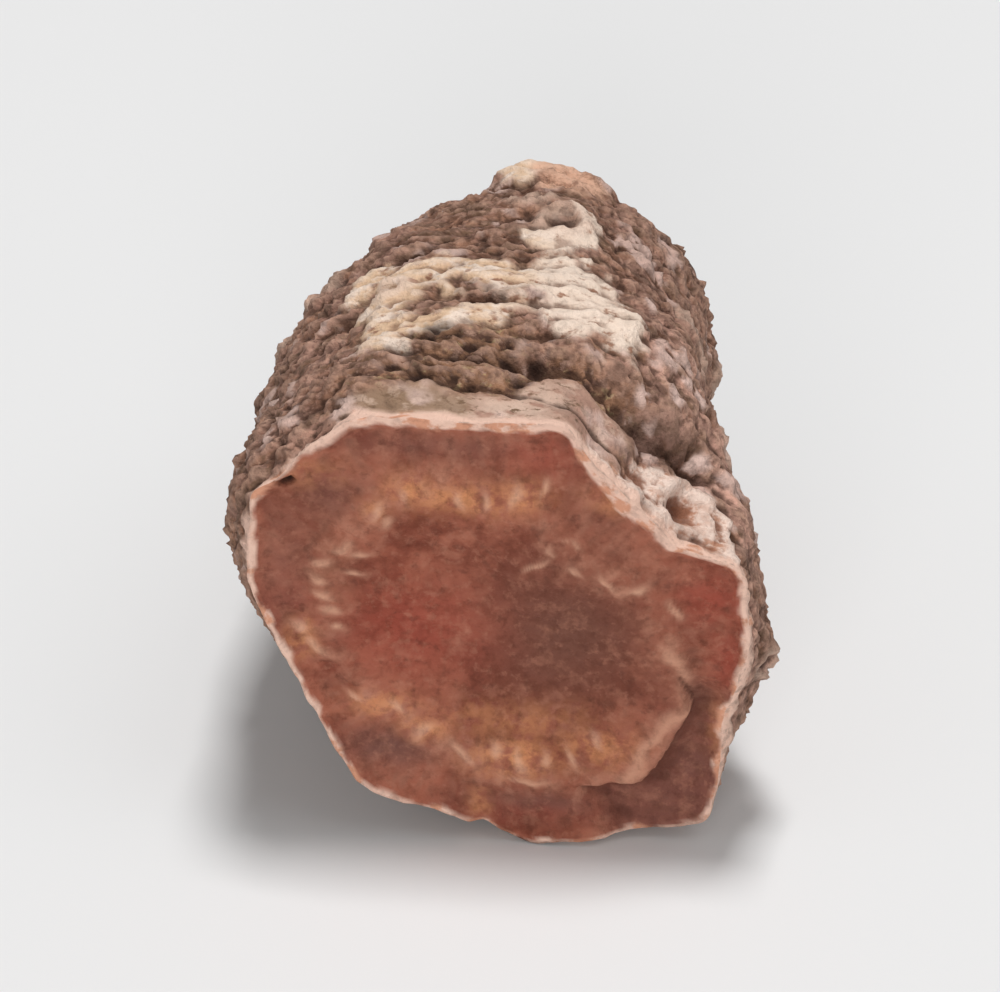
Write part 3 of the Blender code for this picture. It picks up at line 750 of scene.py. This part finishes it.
def rear_rows(angle):
    """Rings of the old cut, from its rim in to its middle: dished, wrinkled and split by drying."""
    plain = section_radius(angle, np.full_like(angle, LENGTH))
    rim = layered(round_points(angle, plain, LENGTH), REAR_RIM_UNEVEN, plain)
    share = np.linspace(1.0, 0.0, REAR_RINGS + 1)[:-1, None]
    radius = share * rim
    inset = rim - radius
    flat = round_points(angle, radius, LENGTH)
    across = flat[..., 0]
    up = flat[..., 2] - AXIS_HEIGHT
    wrinkles = crease(radius / REAR_WRINKLE_PITCH + 0.6 * noise_at(flat, 4.0, 34))
    dish = REAR_DISH * smoothstep(0.7, 3.8, inset) + REAR_EDGE_ROUND * bell(inset, 0.55)
    dish += 0.45 * noise_at(flat, 3.5, 33) + 0.3 * wrinkles * smoothstep(0.0, 1.5, inset)
    split_line = across + SPLIT["lean"] * up - SPLIT["across"]
    split = bell(split_line, SPLIT["half_width"]) * bell(up - SPLIT["height"], SPLIT["half_length"])
    dish += SPLIT["depth"] * split
    granule, granule_crack = granules_at(flat, 0.9, 65)
    fine_wrinkles = crease(radius / 0.9 + noise_at(flat, 1.5, 67))
    dish += 0.08 * noise_at(flat, 0.6, 66) + 0.12 * fine_wrinkles - 0.10 * granule
    masks = {
        # Painted shade in the split
        "scar_dark": split,
        # Cracks and wrinkles, where shade is painted
        "cracks": np.maximum(0.7 * granule_crack, 0.6 * fine_wrinkles),
        "tan": smoothstep(1.5, 0.4, inset + 0.4 * noise_at(flat, 1.2, 68)),
        "hollow": hollow(-dish, 0.2),
    }
    return round_points(angle, radius, LENGTH + REAR_LEAN * up - dish), masks


def bark_rows(angle, cut_rim, rear_rim):
    """Rows of the bark between the rims of the two cuts."""
    share = np.linspace(0.0, 1.0, BARK_ROWS + 2)[1:-1, None]
    front = cut_rim[:, 1]
    rear = rear_rim[:, 1]
    behind = share * (rear - front)
    plain = body_radius(angle, behind)
    points = round_points(angle, plain, behind)
    relief, masks = bark_surface(np.broadcast_to(angle, behind.shape), behind, points, plain)
    radius = plain + relief + rim_nicks(angle) * smoothstep(1.0, 0.0, behind)
    masks["hollow"] = hollow(relief, 0.3)
    rear_radius = np.hypot(rear_rim[:, 0], rear_rim[:, 2] - AXIS_HEIGHT)
    radius += (rear_radius - radius) * smoothstep(2.5, 0.0, rear - front - behind)
    masks["tan"] = np.maximum(masks["tan"], smoothstep(0.9, 0.2, rear - front - behind))
    return round_points(angle, stand_on_feet(angle, behind, radius), front + behind), masks


def hollow(height, depth):
    """How far each point lies below its surroundings: near 1 in a crease, 0.5 level, 0 on a crest; by it,
    shade is painted in creases and a highlight on crests.
    """
    total = np.zeros_like(height)
    rows = np.arange(len(height))
    for reach in (1, 3):
        smooth = height
        for _ in range(2):
            steps = range(-reach, reach + 1)
            smooth = np.mean([smooth[np.clip(rows + step, 0, len(height) - 1)] for step in steps], axis=0)
            smooth = np.mean([np.roll(smooth, step, axis=1) for step in steps], axis=0)
        total += (smooth - height) / depth
    return np.clip(0.5 + 0.5 * total, 0.0, 1.0)


def skin_faces(rings):
    """Faces between neighbouring rings, and a fan of faces that closes each end."""
    columns = np.arange(COLUMNS)
    ahead = (columns + 1) % COLUMNS
    start = COLUMNS * np.arange(rings - 1)[:, None]
    end = start + COLUMNS
    quads = np.stack([start + columns, start + ahead, end + ahead, end + columns], axis=-1).reshape(-1, 4)
    last = (rings - 1) * COLUMNS
    middles = np.full((2, COLUMNS), rings * COLUMNS) + [[0], [1]]
    front_fan = np.stack([middles[0], ahead, columns], axis=-1)
    rear_fan = np.stack([middles[1], last + columns, last + ahead], axis=-1)
    return quads.tolist() + front_fan.tolist() + rear_fan.tolist()


def skin(parts, slots):
    """One closed piece from rings of points, carrying each mask as an attribute of its points."""
    points = np.concatenate([rows for rows, _ in parts])
    middles = [points[0].mean(axis=0), points[-1].mean(axis=0)]
    place = np.concatenate([points.reshape(-1, 3), middles]) - (*MIDDLE, 0.0)
    place[:, 2] = np.maximum(place[:, 2], 0.0)
    mesh = bpy.data.meshes.new("rhizome_skin")
    mesh.from_pydata((place * MM).tolist(), [], skin_faces(len(points)))
    for name in sorted({name for _, masks in parts for name in masks}):
        values = [masks.get(name, np.zeros(rows.shape[:2])) for rows, masks in parts]
        whole = np.concatenate(values)
        flat = np.concatenate([whole.ravel(), [whole[0].mean(), whole[-1].mean()]])
        mesh.attributes.new(name, "FLOAT", "POINT").data.foreach_set("value", flat.astype(np.float32))
    slot_of_ring = np.repeat(slots, [len(rows) for rows, _ in parts])[:-1]
    slot_of_ring[CUT_RINGS - 1] = BARK
    fans = [np.full(COLUMNS, FLESH), np.full(COLUMNS, OLD_CUT)]
    per_face = np.concatenate([np.repeat(slot_of_ring, COLUMNS), *fans])
    mesh.polygons.foreach_set("material_index", per_face.astype(np.int32))
    mesh.shade_smooth()
    mesh.update()
    piece = bpy.data.objects.new("rhizome_skin", mesh)
    bpy.context.scene.collection.objects.link(piece)
    return piece


def paint(red, green, blue):
    """Linear colour from the usual 0 to 255 values."""
    values = [channel / 255.0 for channel in (red, green, blue)]
    return (*[v / 12.92 if v <= 0.04045 else ((v + 0.055) / 1.055) ** 2.4 for v in values], 1.0)


BARK_BROWN = paint(184, 137, 112)
BARK_DARK = paint(130, 92, 74)
BARK_MAUVE = paint(184, 142, 124)
BARK_PINK = paint(226, 176, 156)
BARK_OLIVE = paint(128, 102, 80)
BARK_DEEP = paint(98, 68, 55)
# Painted shade in the creases, cracks and grain of bark and old cut
BARK_CREASE_SHADE = paint(62, 40, 31)
# Lighter bark for painted highlights on crests, and for pale blotches
BARK_CREST = paint(200, 160, 139)
BAND_BROWN = paint(172, 128, 98)
BAND_FLECK = paint(206, 176, 132)
TIP_PEACH = paint(236, 188, 160)
FLAKE_LILAC = paint(238, 206, 194)
CRUST_YELLOW = paint(238, 202, 168)
CRUST_WHITE = paint(252, 230, 212)
CRUST_DEEP = paint(170, 126, 102)
CORTEX_CREAM = paint(246, 220, 205)
CORTEX_BLUSH = paint(196, 144, 118)
# Painted shade in the creases and hollow of the torn patch
CORTEX_CREASE_SHADE = paint(140, 92, 70)
COLLAR_TAN = paint(184, 143, 125)
COLLAR_OLIVE = paint(156, 128, 104)
COLLAR_PALE = paint(232, 200, 180)
# Pale rim along the cut edge, partly painted highlight
RIM_PALE = paint(244, 204, 184)
RIM_ORANGE = paint(222, 160, 130)
# Painted shade for holes, pits, sunken scar middles and the split
HOLE_SHADE = paint(44, 28, 22)
CORTEX_RED = paint(130, 67, 50)
CORTEX_PLUM = paint(120, 78, 69)
FLESH_RED = paint(164, 78, 62)
FLESH_BROWN = paint(120, 76, 62)
RING_ROSE = paint(170, 100, 78)
RING_ORANGE = paint(222, 150, 104)
FIBRE_PALE = paint(236, 184, 154)
# Dark flesh for painted shade in creases, cracks and grain, and for dark blotches
FLESH_DEEP = paint(80, 42, 32)
# Lighter flesh for painted highlights on crests, and for pale blotches and rays
FLESH_LIT = paint(192, 132, 108)
OLD_FLESH = paint(150, 110, 90)
OLD_DARK = paint(104, 74, 60)
FLOOR_PALE = paint(232, 232, 232)
SURROUND_WHITE = paint(255, 255, 255)

# Blotches, as (colour, size in millimetres, noise level where they start, level where they are full, share);
# a share that is a word names a mask
BARK_BLOTCHES = (
    (BARK_DARK, 3.2, 0.42, 0.6, 1.0),
    (BARK_MAUVE, 1.2, 0.46, 0.6, 1.0),
    (BARK_PINK, 2.2, 0.4, 0.56, "flank"),
    (BARK_OLIVE, 1.4, 0.5, 0.6, 0.6),
)
BAND_BLOTCHES = ((BAND_FLECK, 0.7, 0.56, 0.64, 1.0), (BARK_DEEP, 1.1, 0.5, 0.6, 1.0))
SMALL_BARK_BLOTCHES = ((BARK_CREST, 0.55, 0.54, 0.64, 0.6), (BARK_DEEP, 0.45, 0.54, 0.66, 0.6))
COLLAR_BLOTCHES = (
    (COLLAR_PALE, 1.4, 0.5, 0.62, 0.6),
    (COLLAR_PALE, 0.9, 0.36, 0.52, "mid_collar"),
    (BARK_OLIVE, 0.6, 0.54, 0.66, 1.0),
)
CRUST_BLOTCHES = ((CRUST_WHITE, 2.0, 0.5, 0.6, 1.0), (CRUST_DEEP, 0.8, 0.54, 0.68, 1.0))
CREAM_BLOTCHES = ((CORTEX_BLUSH, 1.0, 0.46, 0.62, 1.0), (CORTEX_BLUSH, 0.4, 0.5, 0.64, 0.5))
TIP_BLOTCHES = ((CRUST_DEEP, 0.8, 0.52, 0.68, 1.0),)
BARK_RIM_BLOTCHES = ((RIM_ORANGE, 1.5, 0.56, 0.7, 1.0),)
FLESH_RIM_BLOTCHES = ((RIM_ORANGE, 1.3, 0.48, 0.6, 1.0),)
FLESH_BLOTCHES = ((RING_ROSE, 3.0, 0.42, 0.6, 1.0),)
RING_BLOTCHES = ((FLESH_LIT, 0.9, 0.42, 0.6, 1.0),)
WARM_BLOTCHES = ((RING_ROSE, 0.75, 0.42, 0.66, 1.0),)
SMALL_FLESH_BLOTCHES = (
    (FLESH_LIT, 0.9, 0.5, 0.7, 0.3),
    (FLESH_LIT, 0.5, 0.54, 0.7, 0.3),
    (FLESH_DEEP, 0.65, 0.54, 0.7, 0.35),
)
OLD_CUT_BLOTCHES = ((OLD_DARK, 2.5, 0.4, 0.62, 1.0), (CRUST_DEEP, 0.9, 0.52, 0.68, 1.0))

# Painted relief shading, as (colour of the painted shade in the creases, colour of the painted highlight on
# the crests, share of the creases, share of the crests)
RELIEF_SHADING_BARK = (BARK_CREASE_SHADE, BARK_CREST, 0.8, 0.5)
RELIEF_SHADING_CRUST = (BARK_DARK, CRUST_WHITE, 0.6, 0.5)
RELIEF_SHADING_CREAM = (CORTEX_CREASE_SHADE, CORTEX_CREAM, 0.9, 0.6)
RELIEF_SHADING_FLESH = (FLESH_DEEP, FLESH_LIT, 0.6, 0.3)
RELIEF_SHADING_OLD_CUT = (BARK_CREASE_SHADE, BARK_CREST, 0.8, 0.4)

# Grains, as (coarse size, coarse height, fine size, fine height) in millimetres
BARK_GRAIN = (0.55, 0.3, 0.18, 0.08)
FLESH_GRAIN = (0.6, 0.16, 0.2, 0.06)
OLD_CUT_GRAIN = (0.5, 0.22, 0.18, 0.06)


def add(tree, kind, inputs=(), **settings):
    """New node with its settings and inputs; an input is a value or another node's output."""
    made = tree.nodes.new(kind)
    for name, value in settings.items():
        setattr(made, name, value)
    for name, value in dict(inputs).items():
        if isinstance(value, bpy.types.NodeSocket):
            tree.links.new(value, made.inputs[name])
        else:
            made.inputs[name].default_value = value
    return made


def blend(tree, share, first, second):
    """Colour that goes from the first to the second with the share."""
    mix = add(tree, "ShaderNodeMix", {0: share, 6: first, 7: second}, data_type="RGBA")
    return mix.outputs[2]


def times(tree, first, second):
    return add(tree, "ShaderNodeMath", {0: first, 1: second}, operation="MULTIPLY").outputs[0]


def ease(tree, value, low, high, top=1.0):
    """Value eased from 0 at low to top at high."""
    inputs = {"Value": value, "From Min": low, "From Max": high, "To Max": top}
    return add(tree, "ShaderNodeMapRange", inputs, interpolation_type="SMOOTHSTEP").outputs[0]


def mask(tree, name):
    return add(tree, "ShaderNodeAttribute", attribute_name=name, attribute_type="GEOMETRY").outputs["Fac"]


def new_group(name, inputs, outputs):
    """Empty shader node group with named sockets, as (tree, its inputs, its output node)."""
    tree = bpy.data.node_groups.new(name, "ShaderNodeTree")
    for label, default in inputs.items():
        kind = NUMBER if isinstance(default, float) else COLOUR
        tree.interface.new_socket(label, in_out="INPUT", socket_type=kind).default_value = default
    for label, kind in outputs.items():
        tree.interface.new_socket(label, in_out="OUTPUT", socket_type=kind)
    return tree, tree.nodes.new("NodeGroupInput").outputs, tree.nodes.new("NodeGroupOutput")


def cloud_noise(tree, place, size, detail, roughness):
    """Noise with clouds of a size in millimetres."""
    scale = add(tree, "ShaderNodeMath", {0: 1.0 / MM, 1: size}, operation="DIVIDE").outputs[0]
    inputs = {"Vector": place, "Scale": scale, "Detail": detail, "Roughness": roughness}
    return add(tree, "ShaderNodeTexNoise", inputs).outputs["Fac"]


def mottle_group():
    """Blotches of a given size in millimetres, drawn out round the stub, between two noise levels."""
    tree, given, out = new_group("mottle", {"Size": 1.0, "Low": 0.4, "High": 0.6}, {"Mask": NUMBER})
    place = add(tree, "ShaderNodeTexCoord").outputs["Object"]
    place = add(tree, "ShaderNodeMapping", {"Vector": place, "Scale": (1.0, 1.7, 1.0)}).outputs["Vector"]
    cloud = cloud_noise(tree, place, given["Size"], 4.0, 0.6)
    tree.links.new(ease(tree, cloud, given["Low"], given["High"]), out.inputs["Mask"])
    return tree


def relief_shading_group():
    """Painted shade and highlight: creases and cracks take one colour as painted shade, and crests another
    as painted highlight.
    """
    inputs = {
        "Colour": BARK_BROWN, "Crease Colour": BARK_CREASE_SHADE, "Crest Colour": BARK_CREST,
        "Hollow": 0.5, "Cracks": 0.0, "Crease Share": 1.0, "Crest Share": 0.5,
    }
    tree, given, out = new_group("painted relief shading", inputs, {"Colour": COLOUR})
    low = ease(tree, given["Hollow"], 0.5, 0.9)
    low = add(tree, "ShaderNodeMath", {0: low, 1: given["Cracks"]}, operation="MAXIMUM").outputs[0]
    low = times(tree, low, given["Crease Share"])
    high = times(tree, ease(tree, given["Hollow"], 0.5, 0.15), given["Crest Share"])
    colour = blend(tree, high, given["Colour"], given["Crest Colour"])
    tree.links.new(blend(tree, low, colour, given["Crease Colour"]), out.inputs["Colour"])
    return tree


def grain_group():
    """Fine dry grain: its height in millimetres, its coarse level, by which shade is painted in its low
    spots, and a roughness.
    """
    inputs = {"Coarse Size": 0.5, "Coarse Height": 0.05, "Fine Size": 0.15, "Fine Height": 0.02}
    outputs = {"Height": NUMBER, "Grain Level": NUMBER, "Roughness": NUMBER}
    tree, given, out = new_group("dry grain", inputs, outputs)
    place = add(tree, "ShaderNodeTexCoord").outputs["Object"]
    coarse = cloud_noise(tree, place, given["Coarse Size"], 5.0, 0.65)
    fine = cloud_noise(tree, place, given["Fine Size"], 5.0, 0.65)
    heights = {0: times(tree, coarse, given["Coarse Height"]), 1: times(tree, fine, given["Fine Height"])}
    total = add(tree, "ShaderNodeMath", heights, operation="ADD").outputs[0]
    inputs = {"Value": coarse, "From Min": 0.35, "From Max": 0.65, "To Min": 0.97, "To Max": 0.74}
    dull = add(tree, "ShaderNodeMapRange", inputs)
    tree.links.new(total, out.inputs["Height"])
    tree.links.new(coarse, out.inputs["Grain Level"])
    tree.links.new(dull.outputs[0], out.inputs["Roughness"])
    return tree


MOTTLE = mottle_group()
RELIEF_SHADING = relief_shading_group()
GRAIN = grain_group()


def mottled(tree, size, low, high):
    inputs = {"Size": size, "Low": low, "High": high}
    return add(tree, "ShaderNodeGroup", inputs, node_tree=MOTTLE).outputs["Mask"]


def blotched(tree, colour, blotches):
    """Colour with blotches of other colours over it."""
    for other, size, low, high, share in blotches:
        strength = mask(tree, share) if isinstance(share, str) else share
        colour = blend(tree, times(tree, mottled(tree, size, low, high), strength), colour, other)
    return colour


def covered(tree, colour, name, other, share=1.0):
    """Colour with another one over it where the mask is, as strong as the share."""
    return blend(tree, times(tree, mask(tree, name), share), colour, other)


def dried(tree, colour, look, cracks="cracks", crack_share=1.0):
    """Colour with painted shade in its creases and cracks and a painted highlight on its crests, in the
    colours of a look.
    """
    inputs = {
        "Colour": colour,
        "Hollow": mask(tree, "hollow"),
        "Cracks": times(tree, mask(tree, cracks), crack_share),
        **dict(zip(("Crease Colour", "Crest Colour", "Crease Share", "Crest Share"), look)),
    }
    return add(tree, "ShaderNodeGroup", inputs, node_tree=RELIEF_SHADING).outputs["Colour"]


def new_material(name, specular):
    material = bpy.data.materials.new(name)
    material.use_nodes = True
    shader = material.node_tree.nodes["Principled BSDF"]
    shader.inputs["Specular IOR Level"].default_value = specular
    return material, material.node_tree, shader


def finish_surface(tree, shader, colour, deep, grain_sizes, grain_shade_share):
    """Painted shade in the low spots of the grain, and the grain's roughness and bump."""
    inputs = dict(zip(("Coarse Size", "Coarse Height", "Fine Size", "Fine Height"), grain_sizes))
    grain = add(tree, "ShaderNodeGroup", inputs, node_tree=GRAIN).outputs
    # Painted shade where the grain's bump is low
    grain_shade = times(tree, ease(tree, grain["Grain Level"], 0.54, 0.34), grain_shade_share)
    tree.links.new(blend(tree, grain_shade, colour, deep), shader.inputs["Base Color"])
    tree.links.new(grain["Roughness"], shader.inputs["Roughness"])
    bump = add(tree, "ShaderNodeBump", {"Strength": 1.0, "Distance": MM, "Height": grain["Height"]})
    tree.links.new(bump.outputs["Normal"], shader.inputs["Normal"])


def bark_colour(tree):
    """Bark in several browns with the dark band, a strip of painted shade behind the torn patch, the tan
    collar and the small flakes, with painted shade in its creases and cracks and a painted highlight on its
    crests.
    """
    band = blotched(tree, BAND_BROWN, BAND_BLOTCHES)
    collar = blend(tree, ease(tree, mask(tree, "left_collar"), 0.2, 0.8), COLLAR_TAN, COLLAR_OLIVE)
    collar = blotched(tree, collar, COLLAR_BLOTCHES)
    # The band's mask also holds the strip of painted shade behind the torn patch
    colour = covered(tree, blotched(tree, BARK_BROWN, BARK_BLOTCHES), "band", band, 0.85)
    colour = covered(tree, blotched(tree, colour, SMALL_BARK_BLOTCHES), "tan", collar, 0.9)
    # Painted shade in the creases and cracks, painted highlight on the crests
    colour = dried(tree, colour, RELIEF_SHADING_BARK)
    flake = times(tree, mask(tree, "flake"), ease(tree, mask(tree, "hollow"), 0.75, 0.5))
    return blend(tree, times(tree, flake, 0.85), colour, FLAKE_LILAC)


def crust_colour(tree):
    """Pale crust, whiter on its right, with painted shade in its creases and a painted highlight on its
    crests.
    """
    crust = covered(tree, CRUST_YELLOW, "right_crust", CRUST_WHITE, 0.9)
    # Painted shade in the creases, painted highlight on the crests
    return dried(tree, blotched(tree, crust, CRUST_BLOTCHES), RELIEF_SHADING_CRUST, crack_share=0.25)


def cream_colour(tree):
    """Pale cortex of the torn patch, with painted shade in its creases and in its hollow, and a painted
    highlight on its crests.
    """
    # Painted shade in the creases and in the torn hollow, painted highlight on the crests
    return dried(tree, blotched(tree, CORTEX_CREAM, CREAM_BLOTCHES), RELIEF_SHADING_CREAM, "torn", 0.9)


def bark_material():
    """Dark brown dried bark with pale crust, torn cream cortex, a tan collar, scars and small holes; painted
    shade in its creases, grain, sunken scar middles and holes, a painted highlight on its crests, and a pale
    rim that is partly painted highlight.
    """
    material, tree, shader = new_material("bark", 0.2)
    colour = covered(tree, bark_colour(tree), "crust", crust_colour(tree))
    colour = covered(tree, colour, "scar_pale", COLLAR_PALE, 0.55)
    colour = covered(tree, colour, "cream", cream_colour(tree))
    colour = covered(tree, colour, "tip", blotched(tree, TIP_PEACH, TIP_BLOTCHES), 0.9)
    # Painted shade in sunken scar middles and pits
    colour = covered(tree, colour, "scar_dark", HOLE_SHADE)
    # Pale rim, partly painted highlight along the edge
    colour = covered(tree, colour, "edge", blotched(tree, RIM_PALE, BARK_RIM_BLOTCHES))
    # Less painted shade in the grain of smooth places
    grain_shade_share = ease(tree, mask(tree, "smooth"), 1.1, 0.0, 0.4)
    # Painted shade in the low spots of the grain
    finish_surface(tree, shader, colour, BARK_CREASE_SHADE, BARK_GRAIN, grain_shade_share)
    return material


def flesh_material():
    """The fresh cut: red-brown flesh, plum and brown places, warm patches, pale fibre ends and a pale rim
    that is partly painted highlight, with painted shade in its creases, cracks, grain and corner hole and a
    painted highlight on its crests.
    """
    material, tree, shader = new_material("cut_flesh", 0.25)
    colour = blotched(tree, CORTEX_RED, FLESH_BLOTCHES)
    colour = covered(tree, colour, "rays", FLESH_LIT, 0.4)
    colour = covered(tree, colour, "plum", CORTEX_PLUM)
    colour = covered(tree, colour, "brown", FLESH_BROWN)
    colour = covered(tree, colour, "red", FLESH_RED, 0.85)
    colour = covered(tree, colour, "ring", blotched(tree, RING_ROSE, RING_BLOTCHES), 0.6)
    colour = covered(tree, colour, "orange", blotched(tree, RING_ORANGE, WARM_BLOTCHES))
    colour = blotched(tree, colour, SMALL_FLESH_BLOTCHES)
    colour = covered(tree, colour, "fibre", FIBRE_PALE, 0.7)
    # Painted shade in the creases and cracks, painted highlight on the crests
    colour = dried(tree, colour, RELIEF_SHADING_FLESH, crack_share=0.12)
    # Pale rim, partly painted highlight along the edge
    colour = covered(tree, colour, "edge", blotched(tree, RIM_PALE, FLESH_RIM_BLOTCHES))
    # Painted shade in the corner hole
    colour = covered(tree, colour, "hole", HOLE_SHADE)
    # Painted shade in the low spots of the grain
    finish_surface(tree, shader, colour, FLESH_DEEP, FLESH_GRAIN, 0.25)
    return material


def old_cut_material():
    """The old cut: browner, duller flesh with painted shade in its wrinkles, cracks and grain, a painted
    highlight on its crests, painted shade in its split, and a tan edge.
    """
    material, tree, shader = new_material("old_cut", 0.2)
    colour = blotched(tree, OLD_FLESH, OLD_CUT_BLOTCHES)
    # Painted shade in the wrinkles and cracks, painted highlight on the crests
    colour = dried(tree, covered(tree, colour, "tan", COLLAR_TAN), RELIEF_SHADING_OLD_CUT)
    # Painted shade in the split
    colour = covered(tree, colour, "scar_dark", HOLE_SHADE)
    # Painted shade in the low spots of the grain
    finish_surface(tree, shader, colour, BARK_CREASE_SHADE, OLD_CUT_GRAIN, 0.5)
    return material


def build_rhizome():
    angle = np.arange(COLUMNS) * 360.0 / COLUMNS - 180.0
    cut = cut_rows(angle)
    rear = rear_rows(angle)
    bark = bark_rows(angle, cut[0][-1], rear[0][0])
    piece = skin((cut, bark, rear), (FLESH, BARK, OLD_CUT))
    for material in (bark_material(), flesh_material(), old_cut_material()):
        piece.data.materials.append(material)
    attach(piece, "root")
    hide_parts("rhizome")


def build_floor():
    """Plain pale studio floor."""
    bpy.ops.mesh.primitive_plane_add(size=FLOOR_SIZE)
    floor = bpy.context.object
    floor.name = "floor"
    material = bpy.data.materials.new("studio_floor")
    material.use_nodes = True
    shader = material.node_tree.nodes["Principled BSDF"]
    shader.inputs["Base Color"].default_value = FLOOR_PALE
    shader.inputs["Roughness"].default_value = FLOOR_ROUGHNESS
    floor.data.materials.append(material)


def direction(azimuth, elevation):
    """Unit vector towards a place seen from the stub; azimuth 0 is in front of the fresh cut."""
    around, up = math.radians(azimuth), math.radians(elevation)
    return Vector((math.sin(around) * math.cos(up), -math.cos(around) * math.cos(up), math.sin(up)))


def soft_light(name, azimuth, elevation, distance, size, power):
    """Square soft light that faces the stub."""
    data = bpy.data.lights.new(name, "AREA")
    data.shape = "SQUARE"
    data.size = size
    data.energy = power
    lamp = bpy.data.objects.new(name, data)
    bpy.context.scene.collection.objects.link(lamp)
    lamp.location = direction(azimuth, elevation) * distance
    lamp.rotation_euler = lamp.location.to_track_quat("Z", "Y").to_euler()


def build_studio():
    """White surround, a small strong light overhead, and softer ones at the front and at both sides."""
    world = bpy.data.worlds.new("studio")
    world.use_nodes = True
    surround = world.node_tree.nodes["Background"].inputs
    surround["Color"].default_value = SURROUND_WHITE
    surround["Strength"].default_value = SURROUND_STRENGTH
    bpy.context.scene.world = world
    for light in SOFT_LIGHTS:
        soft_light(*light)
    bpy.context.scene.view_settings.view_transform = "Standard"


def build_camera():
    """Camera at the photograph's viewing angle and distance, closer in by its lens."""
    data = bpy.data.cameras.new("camera")
    data.sensor_width = CAMERA_SENSOR
    data.lens = data.sensor_width * CAMERA_DISTANCE / CAMERA_FIELD
    data.clip_start = CAMERA_NEAR * MM
    camera = bpy.data.objects.new("camera", data)
    bpy.context.scene.collection.objects.link(camera)
    towards = direction(CAMERA_AZIMUTH, CAMERA_ELEVATION)
    camera.location = Vector(CAMERA_AIM) * MM + towards * CAMERA_DISTANCE * MM
    camera.rotation_euler = towards.to_track_quat("Z", "Y").to_euler()
    bpy.context.scene.camera = camera


build_rhizome()
build_floor()
build_studio()
build_camera()
